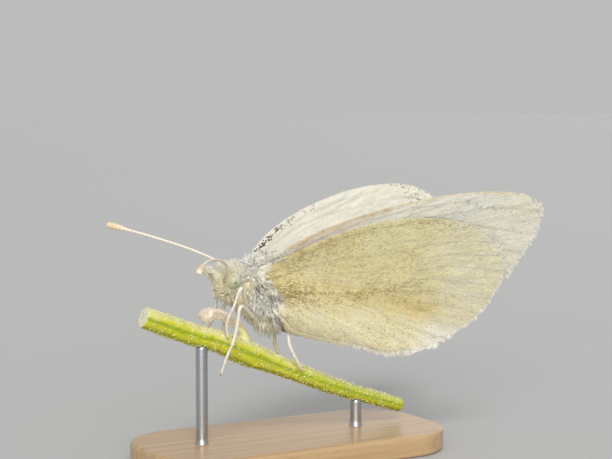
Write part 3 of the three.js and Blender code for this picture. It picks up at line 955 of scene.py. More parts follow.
def sheet_spots(wing):
    """A membrane's points inside its edge: even rows, and lanes along its veins."""
    low, high = wing.edge.min(axis=0), wing.edge.max(axis=0)
    rows = np.arange(low[1], high[1], SHEET_SPACING * 0.87)
    places = np.arange(low[0], high[0], SHEET_SPACING)
    grid = np.stack(np.meshgrid(places, rows), axis=-1)
    grid[1::2, :, 0] += SHEET_SPACING / 2
    grid = grid.reshape(-1, 2)
    clear = np.full(len(grid), True)
    lanes = []
    for _, route in wing.veins:
        clear &= distance_to(grid, route) > SHEET_SPACING
        route = evenly(route, int(step_lengths(route).sum() / VEIN_SPACING))
        beside = square_to(unit(np.gradient(route, axis=0)))
        lanes += [route + beside * offset for offset in VEIN_LANES]
    spots = np.vstack((grid[clear], *lanes))
    return spots[inside_loop(spots, wing.edge) & (distance_to(spots, closed(wing.edge)) > EDGE_GAP)]


def wing_sheet(wing, finish):
    """A wing's membrane, thin and closed, with raised veins and a worn edge."""
    edge = wing.edge
    loop = [(i, (i + 1) % len(edge)) for i in range(len(edge))]
    spots = [Vector(spot) for spot in np.vstack((edge, sheet_spots(wing)))]
    made = delaunay_2d_cdt(spots, loop, [], 1, 1e-5)
    sheet, faces = np.array(made[0]), np.array(made[2])
    order = {sources[0]: i for i, sources in enumerate(made[3]) if sources}
    ring = np.array([order[i] for i in range(len(edge)) if i in order])
    first, second, third = (sheet[faces[:, i]] for i in range(3))
    turn = np.cross(second - first, third - first)
    faces[turn < 0] = faces[turn < 0][:, ::-1]
    relief = wing.relief(sheet)
    values = wing_values(wing, sheet, 1)
    values["rim"] = distance_to(sheet, closed(edge))
    half = wing.half(values)
    count = len(sheet)
    points = np.vstack((wing.at(sheet, half, relief), wing.at(sheet, -half, relief)))
    onward = np.roll(ring, -1)
    walls = np.vstack((
        columns(ring, ring + count, onward + count),
        columns(ring, onward + count, onward),
    ))
    if np.cross(edge, np.roll(edge, -1, axis=0)).sum() < 0:
        walls = walls[:, ::-1]
    faces = np.vstack((faces, faces[:, ::-1] + count, walls))[:, ::-wing.side]
    below = wing_values(wing, sheet, -1)
    values = {key: np.concatenate((values[key], below[key])) for key in values if key != "rim"}
    values["dusk"] = values["dusk"] * 0.6
    values["grain"] = 0.4
    make_piece(wing.node + "_sheet", points, faces, finish, wing.slot, (wing.node,), values)


def plate_piece(name, wing, made, values, finish):
    """One piece of a wing's scales, each scale with its own values."""
    points, faces, patches = made
    marks = {key: np.repeat(data, len(PLATE)) for key, data in values.items() if key != "rim"}
    make_piece(wing.node + name, points, faces, finish, wing.slot, (), marks, patches, smooth=False)


def scale_places(wing, pitch, gap, rng, cover):
    """Where one face's scales are rooted, apart from those that a covering wing hides."""
    rows = []
    for number, reach in enumerate(np.arange(*SCALE_REACH, pitch)):
        turns = np.arange(*SCALE_SWEEP, gap / reach) + (number % 2) * gap / reach / 2
        rows.append(columns(turns, reach))
    rows = np.vstack(rows)
    rows[:, 0] += rng.normal(0, SCALE_JITTER, len(rows)) * gap / rows[:, 1]
    rows[:, 1] += rng.normal(0, SCALE_JITTER, len(rows)) * pitch
    sheet = wing.root + rows[:, 1:] * columns(np.cos(rows[:, 0]), np.sin(rows[:, 0]))
    sheet = sheet[inside_loop(sheet, wing.edge)]
    if cover is not None:
        under = inside_loop(sheet, cover.edge)
        under &= distance_to(sheet, closed(cover.edge)) > WING_OVERLAP
        sheet = sheet[~under]
    return sheet[distance_to(sheet, closed(wing.edge)) > 0.05]


def wing_scales(wing, face, look, finish, rng, cover):
    """One face's scales, in rows across the wing, their tips towards the margin."""
    showing, beside = SCALE_SHOWING
    pitch, gap = look.scale_length / MM * showing, look.scale_width / MM * beside
    sheet = scale_places(wing, pitch, gap, rng, cover)
    count = len(sheet)
    values = wing_values(wing, sheet, face)
    dark = rng.random(count) < values["dusk"]
    back, up, out = wing.directions(sheet)
    angle = values["ray"] + rng.normal(0, 0.1, count)
    along = unit(blend((back, np.cos(angle)), (up, np.sin(angle))))
    out = out * face
    across = unit(np.cross(out, along)) + out * rng.normal(0, 0.1, (count, 1))
    values["rim"] = distance_to(sheet, closed(wing.edge))
    roots = wing.at(sheet, face * (wing.half(values) + 0.035 * ease(6.5, 3, values["reach"])))
    small = np.where(dark, 0.58 if face > 0 else 0.78, 1.0)
    lengths = spread(look.scale_length, 0.85, 1.2, count, rng) * small
    widths = spread(look.scale_width, 0.85, 1.15, count, rng) * small
    lifts = SCALE_LIFT * rng.uniform(0.6, 1.4, count) * np.where(dark, 2.0, 1.0)
    made = plates(roots, along, across, out, lengths, widths, lifts, wing.on_map(sheet))
    if face > 0:
        depth = rng.uniform(0.15, 0.55, count)
    else:
        depth = 1 - rng.random(count) * ease(5, 9, values["reach"]) * 0.85
    values["dusk"] = np.where(dark, depth, 0.0)
    values["grain"] = rng.random(count)
    plate_piece("_scales_outer" if face > 0 else "_scales_inner", wing, made, values, finish)


def fringe_layer(wing, layer, spacing, length, rng):
    """The roots, headings, lengths and lifts of one layer of the fringe."""
    count = int(step_lengths(closed(wing.tips)).sum() / spacing)
    index = (np.arange(count) + rng.random(count)) / count * len(wing.tips)
    low = index.astype(int) % len(wing.tips)
    share = wing.fringe[low]
    worn = drift(columns(index * 0.09, layer * 0.3), 21)
    tuft = drift(columns(index * 0.55, 9.0), 22)
    size = share * length * (0.55 + 0.75 * tuft) * (0.75 + 0.5 * worn)
    keep = (share > 0.12) & (worn > 0.16)
    low, size = low[keep], size[keep]
    roots = wing.edge[low] - wing.facing[low] * 0.06
    heading = np.arctan2(wing.facing[low, 1], wing.facing[low, 0]) + rng.normal(0, 0.16, len(low))
    heading = heading + 0.5 * (drift(index[keep] * 0.3, 23) - 0.5)
    return roots, heading, size + 0.06, np.full(len(low), (layer - 1) * FRINGE_LAYER)


def wing_fringe(wing, look, finish, rng):
    """The fringe of long scales along the margin, uneven and torn in places."""
    length = look.fringe_length / MM
    layers = [fringe_layer(wing, *layer, length, rng) for layer in enumerate(FRINGE_SPACINGS)]
    roots, heading, size, lift = (np.concatenate(part) for part in zip(*layers))
    count = len(roots)
    back, up, out = wing.directions(roots)
    along = blend((back, np.cos(heading)), (up, np.sin(heading)))
    along = unit(along + out * rng.normal(0, 0.09, (count, 1)))
    across = unit(np.cross(out, along))
    widths = rng.uniform(0.05, 0.09, count)
    lifts = np.full(count, 0.012)
    made = plates(wing.at(roots, lift), along, across, out, size, widths, lifts, wing.on_map(roots))
    values = wing_values(wing, roots, 1)
    for key in ("yellow", "gold", "vein"):
        values[key] = values[key] * 0.3
    values["silk"] = np.full(count, 0.8)
    values["rose"] = 0.22 * (rng.random(count) < 0.3)
    values["dusk"] = 0.5 * (rng.random(count) < 0.05)
    values["grain"] = rng.random(count)
    plate_piece("_fringe", wing, made, values, finish)


# ---- body


def lump(stations, coat, rings=40, sides=40):
    """A rounded body part's closed skin, drawn in by its coat's depth."""
    table = smooth_route(stations, 60)
    table = table[np.argsort(table[:, 0])]
    start, end = table[0, 0], table[-1, 0]
    share = np.linspace(0, 1, rings)
    turns = -np.arange(sides) * TAU / sides
    round_off = np.sqrt(np.clip(1 - np.abs(2 * share - 1) ** 8, 0.02, 1))
    rows, hearts = [], []
    for along, shrink in zip(start + coat + (end - start - 2 * coat) * share, round_off):
        low, high, half = (np.interp(along, table[:, 0], column) for column in table[:, 1:].T)
        middle = (low + high) / 2
        rise = middle + ((high - low) / 2 - coat) * np.cos(turns)
        rows.append(columns(along, (half - coat) * np.sin(turns) * shrink, middle + (rise - middle) * shrink))
        hearts.append((along, 0, middle))
    return from_body(np.vstack((*rows, hearts[0], hearts[-1]))), ring_faces(rings, sides)


def coat_values(points, rng):
    """How cream and how dark the coat is at places of the body's frame."""
    x, y, z = points.T
    side = ease(0.5, 0.9, np.abs(y))
    neck = bell(x + 0.75, 0.55) * ease(-0.9, -1.9, z)
    belly = ease(-2.8, -3.8, z)
    face = ease(-1.6, -2.4, x) * ease(-1, -2.6, z)
    tail = ease(3, 5, x)
    crown = ease(-1.2, -0.7, z) * ease(-0.9, -1.3, x)
    head = 0.5 * ease(-1, -1.6, x) * (1 - 0.7 * crown)
    cream = np.clip(0.26 + 0.74 * neck + 0.5 * belly + head + 0.3 * face + 0.2 * tail, 0, 1)
    clumps = drift(points * 2.6, 31)
    shoulder = bell(x - 0.05, 0.42) * bell(z + 1.7, 0.65) * side
    flank = bell(x - 1.8, 0.5) * bell(z + 2.0, 0.25) * side
    back = ease(-0.2, 0.9, z) * ease(-1, 0.5, x)
    density = 0.04 + 0.85 * shoulder * ease(0.28, 0.5, clumps) + 0.14 * back
    density = density + 0.7 * flank * ease(0.3, 0.5, clumps)
    density = density + 0.48 * ease(-2.4, -3.3, z) * ease(0.45, 0.7, clumps) * ease(-0.3, 0.6, x)
    density = density + 0.3 * tail * ease(-2, -1.2, z)
    dusk = np.where(rng.random(len(points)) < density, rng.uniform(0.6, 1.0, len(points)), 0.0)
    return {"cream": cream, "dusk": dusk}


def coat_finish(look, name="body_hair"):
    """Fine pale hair, blue-white to cream, with black hairs among it."""
    finish = Finish(name)
    mottle = finish.noise(1.6)
    along = finish.value("along")
    cream = finish.value("cream") * (0.7 + 0.6 * mottle) * (1.4 - 0.85 * along)
    # shade darkens each hair towards its root, a painted shade deep in the coat; grain varies the tone from
    # tuft to tuft.
    shade = 0.82 + 0.11 * along + 0.12 * finish.value("grain")
    colour = finish.shaded(finish.mix(cream, look.white, look.cream), shade)
    colour = finish.mix(finish.value("dusk"), colour, look.dark)
    return finish.done(colour, 0.6, Sheen_Weight=0.45, Sheen_Roughness=0.6, Specular_IOR_Level=0.3)


class Skin:
    """The body's one skin, and the places on it where hair is rooted."""

    def __init__(self, points, faces, normals):
        self.points, self.faces, self.normals = points, faces, normals
        corners = points[faces]
        self.middles = to_body(corners.mean(axis=1))
        sides = corners[:, 1:] - corners[:, :1]
        self.areas = norm(np.cross(sides[:, 0], sides[:, 1]), axis=1) / 2

    def roots(self, count, rng, density):
        """Roots and outward directions in the body's frame, spread by a density for each face."""
        chance = np.cumsum(self.areas * density)
        pick = np.searchsorted(chance, rng.random(count) * chance[-1])
        first, second = rng.random((2, count, 1))
        flip = first + second > 1
        first, second = np.where(flip, 1 - first, first), np.where(flip, 1 - second, second)
        weights = np.concatenate((1 - first - second, first, second), axis=1)[..., None]
        corners = self.faces[pick]
        points = (self.points[corners] * weights).sum(axis=1)
        out = unit((self.normals[corners] * weights).sum(axis=1))
        return to_body(points - out * 0.03), turn_to_body(out)


def unrolled(points, low, high):
    """Places on the body on its bake map, which unrolls it from low to high along it."""
    along = np.clip((points[:, 0] - low) / (high - low), 0, 1)
    turn = np.arctan2(points[:, 1], points[:, 2] - BODY_AXIS)
    return 0.01 + 0.98 * columns(along, turn / TAU + 0.5)


def on_right(places):
    """Places of the body's frame, mirrored to its right."""
    return np.where((False, True, False), np.abs(places), places)


def sway(places, seed):
    """Smooth noise from -0.5 to 0.5 in each of the three directions."""
    return columns(*(drift(places, seed + i) - 0.5 for i in range(3)))


def in_tufts(roots, aims, lengths, each, pull, rng):
    """Leans that draw hairs' tips together into tufts, and a shade from 0 to 1 for each tuft."""
    heads = rng.choice(len(roots), max(1, len(roots) // each), replace=False)
    nearest = np.concatenate([
        ((part[:, None] - roots[heads]) ** 2).sum(axis=2).argmin(axis=1) for part in np.array_split(roots, 12)
    ])
    tips = roots + aims * lengths[:, None]
    gather = tips[heads] + aims[heads] * 0.06
    return (gather[nearest] - tips) * pull, rng.random(len(heads))[nearest]


def coat_piece(name, sets, finish, slot="body_hair"):
    """One piece of coat from sets of hairs and their values."""
    points, faces = joined([made[:2] for made, _ in sets])
    values = {
        key: np.concatenate([np.repeat(marks[key], len(made[0]) // len(marks[key])) for made, marks in sets])
        for key in sets[0][1]
    }
    values["along"] = np.concatenate([made[2] for made, _ in sets])
    make_piece(name, points, faces, finish, slot, (), values, np.vstack([made[3] for made, _ in sets]))


def body_skin(look):
    """The skin itself."""
    shapes = [
        lump(HEAD_STATIONS, look.head_hair / MM * 0.75),
        lump(THORAX_STATIONS, look.chest_hair / MM * 0.55),
        lump(ABDOMEN_STATIONS, look.tail_hair / MM * 0.4),
    ]
    for side in SIDES.values():
        palp = smooth_route(np.array(PALP_ROUTE) * (1, side, 1), 20)
        palp[:, 0] += 0.22 * np.sin(np.linspace(0, math.pi, 20))
        shapes.append(tube(palp, 0.14 * (1 - 0.6 * np.linspace(0, 1, 20) ** 3), 12))
        shapes.append(ball(from_body((0.75, side * 0.85, -0.2)), (1.2, 0.4, 0.5)))
    points, faces, normals = melded(shapes, 0.09, 6)
    inner = to_body(points)
    rings = np.sin(inner[:, 0] * TAU / 0.95) * ease(3.2, 4.2, inner[:, 0])
    points = points + normals * (0.04 * (drift(points * 2.2, 41) - 0.5) + 0.03 * rings)[:, None]
    marks = coat_values(inner, draws("skin"))
    marks["dusk"] = 0.35 * marks["dusk"]
    # The skin takes the value of the hairs' roots, so it carries their painted shade.
    marks["along"] = 0.1
    marks["grain"] = drift(points * 6, 42)
    nodes = ("head", "thorax", "abdomen", "palp_left", "palp_right")
    make_piece("body_skin", points, faces, coat_finish(look, "body_skin"), "body_hair", nodes, marks)
    return Skin(points, faces, normals)


def body_hairs(roots, aims, leans, lengths, widths, stretch, shade, rng):
    """Hairs rooted in the body's frame, with their coat values."""
    marks = coat_values(roots, rng)
    marks["grain"] = 0.65 * shade + 0.35 * rng.random(len(roots))
    lengths = lengths * np.where(marks["dusk"] > 0, 0.75, 1.0)
    turned = [turn_from_body(way) for way in (aims, leans)]
    return hairs(from_body(roots), *turned, lengths, widths, unrolled(roots, *stretch)), marks


def on_rump(places):
    """1 on the chest's lower rear slope, whose hair sweeps back under the wings."""
    x, _, z = places.T
    return ease(1.7, 2.6, x) * ease(-2, -2.8, z)


def on_palp(places):
    """1 on the palps."""
    line = to_body(smooth_route(PALP_ROUTE, 12))
    return ease(0.34, 0.24, distance_to(on_right(places), line)) * ease(-2.2, -2.5, places[:, 0])


def on_frons(places):
    """1 between the eyes above the palps, where the hair stands forward."""
    x, y, z = places.T
    return ease(-1.7, -2, x) * ease(-2.6, -2, z) * ease(-0.8, -1.2, z) * ease(0.75, 0.5, np.abs(y))


def on_skirt(places):
    """1 below the abdomen's front end, where longer hair hangs down."""
    x, _, z = places.T
    return ease(5.4, 4, x) * ease(-1.9, -2.4, z)


def thorax_hair(look, skin, finish):
    """The chest's hair, which lies back and down, with an upright collar behind the head."""
    rng = draws("thorax")
    x = skin.middles[:, 0]
    roots, out = skin.roots(THORAX_HAIRS, rng, (x > -1.2) * (x < 3.4) * (1 + 1.8 * on_rump(skin.middles)))
    x, _, z = roots.T
    rump, below, above = on_rump(roots), ease(-2.4, -3.9, z), ease(-0.8, 0.5, z)
    collar = ease(0.1, -1, x) * ease(-2.2, -0.9, z)
    backward = 0.6 - 0.5 * collar - 0.2 * below + 0.7 * rump
    aims = blend((out, 0.4 + 0.2 * collar), (BACK, backward), (-UP, 0.55 * (1 - above) * (1 - collar)))
    aims = unit(aims + sway(roots * 2.2, 50) * 0.9 + rng.normal(0, 0.14, (len(roots), 3)))
    lengths = spread(look.chest_hair, 0.75, 1.2, len(roots), rng) * (0.85 + 0.25 * below + 0.25 * collar)
    lengths = lengths * (1 + 1.0 * ease(0.9, 2.4, x) * ease(-1.8, -3.2, z) + 0.4 * rump)
    widths = spread(look.hair_width, 0.8, 1.3, len(roots), rng)
    leans, shade = in_tufts(roots, aims, lengths, 6, 0.78, rng)
    leans = leans - UP * 0.1 * lengths[:, None]
    made = body_hairs(roots, aims, leans, lengths, widths, THORAX_MAP, shade, rng)
    coat_piece("coat_thorax", [made], finish)


def head_hair(look, skin, finish):
    """The head's hair: forward over the face, upright on the crown and parted round the eyes."""
    rng = draws("head")
    places = skin.middles
    more = 1 + 1.2 * on_palp(places) + 1.8 * on_frons(places)
    roots, out = skin.roots(HEAD_HAIRS, rng, (places[:, 0] < -1.05) * more)
    away = on_right(roots) - EYE_HEART
    eye_gap = norm(away, axis=1)
    clear = eye_gap > 0.62
    roots, out, away, eye_gap = (part[clear] for part in (roots, out, away, eye_gap))
    x, y, z = roots.T
    count = len(roots)
    away[:, 1] *= np.sign(y)
    palp = on_palp(roots)
    front, top = ease(-1.6, -2.3, x), ease(-1.25, -0.7, z)
    beard = ease(-2.2, -3, z) * (1 - palp)
    by_eye = ease(1, 0.66, eye_gap)
    frons = on_frons(roots) * (1 - palp)
    tip = palp * ease(-2.3, -1.7, z)
    ahead = 0.85 * front + 1.1 * frons - 0.45 * (1 - front) + 0.25 * palp
    upward = 0.55 * top * (1 - frons) + 0.38 * palp + 0.1 * frons - 0.35 * beard
    aims = blend((out, 0.5 - 0.25 * frons), (-BACK, ahead), (unit(away), 0.3 * by_eye), (UP, upward))
    aims = unit(aims + sway(roots * 3.0, 60) * 0.8 + rng.normal(0, 0.14, (count, 3)))
    grown = 0.85 + 0.3 * front + 2.5 * frons + 0.65 * top * (1 - frons)
    grown = grown + 0.7 * beard + 0.25 * palp + 0.3 * tip
    lengths = spread(look.head_hair, 0.7, 1.3, count, rng) * grown * (1 - 0.45 * by_eye)
    widths = spread(look.hair_width, 0.7, 1.1, count, rng)
    leans, shade = in_tufts(roots, aims, lengths, 6, 0.82, rng)
    made, marks = body_hairs(roots, aims, leans, lengths, widths, HEAD_MAP, shade, rng)
    marks["cream"] = marks["cream"] * (1 - 0.15 * frons - 0.2 * tip)
    rims = [eye_rim(side, look, rng) for side in SIDES.values()]
    coat_piece("coat_head", [(made, marks), *rims], finish)


def eye_rim(side, look, rng):
    """Short cream scales laid unevenly round one eye."""
    count = EYE_RIM_HAIRS
    turn = rng.uniform(0, TAU, count)
    ring = columns(np.cos(turn), 0, np.sin(turn))
    out = np.array((0.0, side, 0.0))
    ring_roots = ring * (0.62, 0, 0.7) * rng.uniform(0.98, 1.14, (count, 1))
    roots = ring_roots + EYE_HEART * (1, side, 1) + out * 0.1
    upward = np.where(np.sin(turn) > 0, 1, -1)[:, None]
    along = columns(-np.sin(turn), 0, np.cos(turn)) * upward
    sweep = 0.6 * BACK + ring * 0.9 + out * 0.25
    aims = unit(sweep + along * 0.1 + rng.normal(0, 0.25, (count, 3)))
    lengths = rng.uniform(0.1, 0.3, count)
    widths = spread(look.hair_width, 0.6, 1.0, count, rng)
    made, marks = body_hairs(roots, aims, -ring * 0.03, lengths, widths, HEAD_MAP, rng.random(count), rng)
    marks["dusk"] = marks["dusk"] * 0
    marks["cream"] = rng.uniform(0.5, 1.0, count)
    return made, marks


def abdomen_hair(look, skin, finish):
    """The abdomen's short flat hair, longer under its front end."""
    rng = draws("abdomen")
    places = skin.middles
    roots, out = skin.roots(ABDOMEN_HAIRS, rng, (places[:, 0] > 3.0) * (1 + 2.5 * on_skirt(places)))
    count = len(roots)
    skirt = on_skirt(roots)
    aims = blend((out, 0.28 + 0.6 * skirt), (BACK, 1 - 0.5 * skirt))
    aims = unit(aims + rng.normal(0, 0.12, (count, 3)))
    lengths = spread(look.tail_hair, 0.7, 1.2, count, rng) * (1 + 1.9 * skirt)
    leans = -out * 0.08 * lengths[:, None]
    widths = spread(look.hair_width, 0.9, 1.5, count, rng)
    made = body_hairs(roots, aims, leans, lengths, widths, ABDOMEN_MAP, rng.random(count), rng)
    coat_piece("coat_abdomen", [made], finish)


def over_root(wing, rng):
    """Hair over a wing's root: tips, directions, sizes, how far out it lies and how far back it starts."""
    front, most, out = ROOT_HAIR[wing.kind]
    count = WING_ROOT_HAIRS[wing.kind]
    front = evenly(np.array(front), 200)
    tips = front[rng.integers(0, len(front), count)] + rng.normal(0, 0.14, (count, 2))
    ray = unit(tips - wing.root - (0, 0.6))
    lie = rng.uniform(0.15, 0.5, count) * out
    return tips, ray, rng.uniform(0.55, 1.05, count), lie, rng.random(count) ** 1.5 * most


def under_edge(rng):
    """The same for hair that hangs from the hindwing's lower edge."""
    count = WING_EDGE_HAIRS
    line = evenly(np.array(WING_LOWER_EDGE), 300)
    ray = unit(rng.normal(0, 0.16, (count, 2)) + (0.45, -0.9))
    roots = line[rng.integers(0, len(line), count)]
    roots = roots + columns(rng.random(count) * 0.3, rng.random(count) * 0.6)
    size = rng.uniform(0.5, 1.0, count) * (1 - 0.55 * ease(3.5, 8, roots[:, 0]))
    return roots + ray * (size * 0.7)[:, None], ray, size, rng.uniform(-0.1, 0.3, count), np.zeros(count)


def one_root_hair(wing, number, look):
    """Hair over one wing's root, and its values."""
    rng = draws("wing_roots", number)
    grown = [over_root(wing, rng)]
    if wing.kind == "hind":
        grown.append(under_edge(rng))
    tips, ray, size, reach, most = (np.concatenate(part) for part in zip(*grown))
    lengths = look.chest_hair / MM * size
    sheet = tips - ray * (lengths + most)[:, None]
    inside = inside_loop(sheet, wing.tips)
    sheet, ray, lengths, reach = (part[inside] for part in (sheet, ray, lengths, reach))
    count = len(sheet)
    back, up, out = wing.directions(sheet)
    turn = rng.normal(0, 0.2, (count, 1))
    backward, upward = ray[:, :1] - ray[:, 1:] * turn, ray[:, 1:] + ray[:, :1] * turn
    aims = unit(blend((back, backward), (up, upward), (out, reach)))
    roots = wing.at(sheet, 0.1)
    gather, shade = in_tufts(roots, aims, lengths, 9, 0.5, rng)
    leans = gather - out * 0.22 * lengths[:, None]
    widths = spread(look.hair_width, 0.6, 1.0, count, rng)
    x, y = sheet.T
    spots = columns(0.02 + 0.09 * (x + 1), 0.05 + 0.22 * number + (y + 5) / 60)
    marks = coat_values(to_body(roots), rng)
    creamier = 0.2 * rng.random(count) + 0.6 * ease(1.8, 3.5, x)
    marks["cream"] = np.clip(marks["cream"] + creamier, 0, 1)
    flecks = 0.55 * ease(0.42, 0.6, drift(roots * 2.4, 81)) * ease(-0.4, -1.2, y)
    flecks = np.where(rng.random(count) < flecks, rng.uniform(0.5, 0.95, count), 0.0)
    marks["dusk"] = np.maximum(marks["dusk"], flecks) * ease(3.2, 1.8, x)
    marks["grain"] = shade
    return hairs(roots, aims, leans, lengths, widths, np.clip(spots, 0.01, 0.99)), marks


def wing_root_hair(look, finish):
    """Hair that runs from the thorax out over the roots of the wings."""
    wings = [Wing(kind, place) for kind in ("fore", "hind") for place in SIDES]
    sets = [one_root_hair(wing, number, look) for number, wing in enumerate(wings)]
    coat_piece("coat_wing_roots", sets, finish)


# ---- eyes and feelers


def eye_finish(look, place, side):
    """Pale green, whiter above and behind, finely netted, with dark spots that seem to float."""
    finish = Finish(f"eye_{place}")
    spot = finish.node("TexCoord", output=3)
    mottle = finish.noise(2.2)
    pale = finish.rise(finish.value("rise") * 0.8 + finish.value("back") * 0.7 + mottle * 0.9, 0.1, 1.0)
    colour = finish.mix(pale, look.eye, look.eye_pale)
    arcs = finish.noise(3.0, 1.0, at=finish.place(1.2, 1.2, 0.35))
    rim = finish.rise(finish.value("back") * -1 + arcs * 0.5, 0.65, 1.0)
    colour = finish.mix(rim * 0.5, colour, look.eye_rim)
    for inner, size, strength in EYE_SPOTS:
        heart = from_body(np.array(inner) * (1, side, 1)) * MM
        away = finish.node("VectorMath", {"operation": "DISTANCE"}, {0: spot, 1: tuple(heart)}, output=1)
        halo = 1 - finish.rise(away, size * 1.2 * MM, size * 2.2 * MM)
        colour = finish.mix(halo * strength * 0.4, colour, look.eye_pale)
        dark = 1 - finish.rise(away, size * 0.5 * MM, size * 1.25 * MM)
        colour = finish.mix(dark * strength, colour, look.eye_spot)
    facets = finish.node("TexVoronoi", None, {"Vector": finish.place(), "Scale": 26.0})
    return finish.done(colour, 0.22, facets, 0.006, Coat_Weight=0.35, Coat_Roughness=0.1)


def eye_dome(place, side, look):
    """One glossy eye, let into the head."""
    node = f"eye_{place}"
    low, high = corners_of(node)
    centre = (low + high) / 2
    centre[1] = high[1] if side < 0 else low[1]
    radius = (high[0] - low[0]) / 2
    inner = to_body(centre) + EYE_SHIFT
    points, faces = ball(inner, (radius * 0.9, radius, radius * 1.04), 48, 72)
    back, _, rise = ((points - inner) / radius).T
    values, finish = {"rise": rise, "back": back}, eye_finish(look, place, side)
    make_piece(node + "_dome", from_body(points), faces, finish, "eye", (node,), values)


def feeler(name, joints, finish):
    """One feeler: a finely ringed shaft that swells into a club."""
    share = np.linspace(0, 1, FEELER_STEPS)
    club = ease(0.8, 0.93, share) * np.sqrt(np.clip(1 - ease(0.965, 1, share) ** 2, 0.0, 1))
    rings = 0.5 + 0.5 * np.cos(share * TAU * FEELER_RINGS)
    radius = 0.088 + 0.012 * rings * (1 - 0.5 * club) + 0.17 * club
    radius = radius * np.sqrt(np.clip((1 - share) * 60, 0, 1)) + 0.002
    points, faces = tube(smooth_route(joints, FEELER_STEPS), radius, FEELER_SIDES)
    over = np.cos(np.arange(FEELER_SIDES) * TAU / FEELER_SIDES)
    values = {
        "along": np.append(np.repeat(share, FEELER_SIDES), (0, 1)),
        "over": np.append(np.tile(over, FEELER_STEPS), (0, 0)),
    }
    make_piece(f"{name}_shaft", points, faces, finish, "feeler", (name,), values)


def feeler_finish(look):
    """Cream-pink shaft with fine darker rings, and a tan club with a pale tip."""
    finish = Finish("feeler")
    along, pale = finish.value("along"), look.feeler
    bands = finish.node("Math", {"operation": "SINE"}, {0: along * (TAU * FEELER_RINGS)}) * 0.5 + 0.5
    powder = finish.noise(9.0)
    below = 1 - finish.rise(finish.value("over"), -0.6, 0.9) * 0.5
    colour = finish.layers(
        pale,
        (finish.rise(bands, 0.5, 0.95) * 0.4 * below, deeper(pale, 0.42)),
        (finish.rise(along, 0.82, 0.93) * 0.85, look.club),
        (finish.rise(along, 0.965, 1.0) * 0.6, deeper(pale, 1.1)),
        (finish.rise(powder, 0.45, 0.75) * 0.4, look.powder))
    return finish.done(colour, 0.7, powder, 0.02, Specular_IOR_Level=0.3)


# ---- legs


def leg_line(joints, look):
    """The leg's line, its radius along it and the share of its length."""
    route = smooth_route(joints, LEG_STEPS)
    share = np.linspace(0, 1, LEG_STEPS)
    corners = [share[norm(route - np.array(joint), axis=1).argmin()] for joint in joints]
    knee, ankle = corners[1], corners[-3] if len(joints) > 5 else corners[-2]
    thigh, foot = look.thigh / MM, look.foot / MM
    shin = (thigh + foot) / 2
    radius = thigh + (shin - thigh) * ease(knee - 0.05, knee + 0.08, share)
    radius = radius + (foot - shin) * ease(ankle - 0.05, ankle + 0.03, share)
    radius = radius + 0.03 * bell(share - knee, 0.025) + 0.02 * bell(share - ankle, 0.02)
    beads = 0.5 + 0.5 * np.cos((share - ankle) / max(1 - ankle, 0.1) * TAU * 5)
    radius = radius + 0.018 * beads * ease(ankle, ankle + 0.03, share)
    return route, radius * np.sqrt(np.clip((1 - share) * 40, 0.05, 1)), share


def leg_bristles(route, radius, share, green, number, rng):
    """Short flat-lying bristles over a leg, and their values."""
    count = LEG_BRISTLES
    index = rng.integers(2, len(route) - 2, count)
    turn = rng.uniform(0, TAU, count)
    roots, out, along = rooted_round(route, radius * 0.9, index, turn)
    aims = unit(out * 0.42 + along + rng.normal(0, 0.12, (count, 3)))
    lengths = rng.uniform(0.1, 0.22, count)
    widths = rng.uniform(0.025, 0.04, count)
    strip = (number + 0.1 + 0.8 * turn / TAU) / len(LEG_ROUTES)
    spots = columns(0.01 + 0.98 * share[index], strip)
    marks = {"grain": rng.random(count), "green": np.full(count, green)}
    return hairs(roots, aims, out * 0.0, lengths, widths, spots, rings=2), marks


def leg_claws(route):
    """Two small hooks at a leg's toe."""
    ahead, across, over = (way[-1] for way in route_frames(route))
    toe = route[-1]
    radius = 0.028 * (1 - np.linspace(0, 1, 12)) ** 0.7 + 0.002
    shapes = []
    for way in (-1, 1):
        out = unit(over * way + across * 0.2)
        hook = [toe - ahead * 0.05, toe + ahead * 0.06 + out * 0.05, toe + ahead * 0.13 + out * 0.05,
                toe + ahead * 0.16 + out * 0.02 - across * 0.04]
        shapes.append(tube(smooth_route(hook, 12), radius, 8))
    return shapes


def leg_limb(name, joints, number, look, finish, rng):
    """One leg, without its bristles and claws, which it gives back."""
    route, radius, share = leg_line(joints, look)
    points, faces = tube(route, radius, LEG_SIDES)
    green = 0.6 if name == GREEN_LEG else 0.0
    make_piece(f"{name}_limb", points, faces, finish, "leg", (name,), {"grain": 0.5, "green": green})
    return leg_bristles(route, radius, share, green, number, rng), leg_claws(route)


def leg_finish(look):
    """Cream, powdered and faintly banded."""
    finish = Finish("leg")
    powder = finish.noise(7.0, 3.0)
    colour = finish.layers(
        look.colour,
        (powder * 0.8, deeper(look.colour, 0.78)),
        (finish.value("green"), look.green),
        (finish.value("grain") * 0.35, look.bristle))
    return finish.done(colour, 0.5, powder, 0.015, Specular_IOR_Level=0.4)


def claw_finish(look):
    """Dark mottled horn."""
    finish = Finish("claw")
    mottle = finish.noise(8.0)
    return finish.done(finish.mix(mottle, look.claw, deeper(look.claw, 2.4)), 0.3)


# ---- stem and side shoot


def stem_radius(share):
    """The stem's radius, with the swelling where the shoot leaves."""
    swell = STEM_SWELL * bell(share - 0.38, 0.08)
    return STEM_HEAD_RADIUS + (STEM_TAIL_RADIUS - STEM_HEAD_RADIUS) * ease(0.3, 1, share) + swell


def shoot_radii():
    """The side shoot's radius: wide where it leaves the stem and swollen near its tip."""
    share = np.linspace(0, 1, SHOOT_STEPS)
    radius = (SHOOT_RADIUS - 0.04) * (1 + 0.7 * (1 - ease(0, 0.45, share)))
    return radius * (1 + 0.6 * bell(share - 0.9, 0.08))


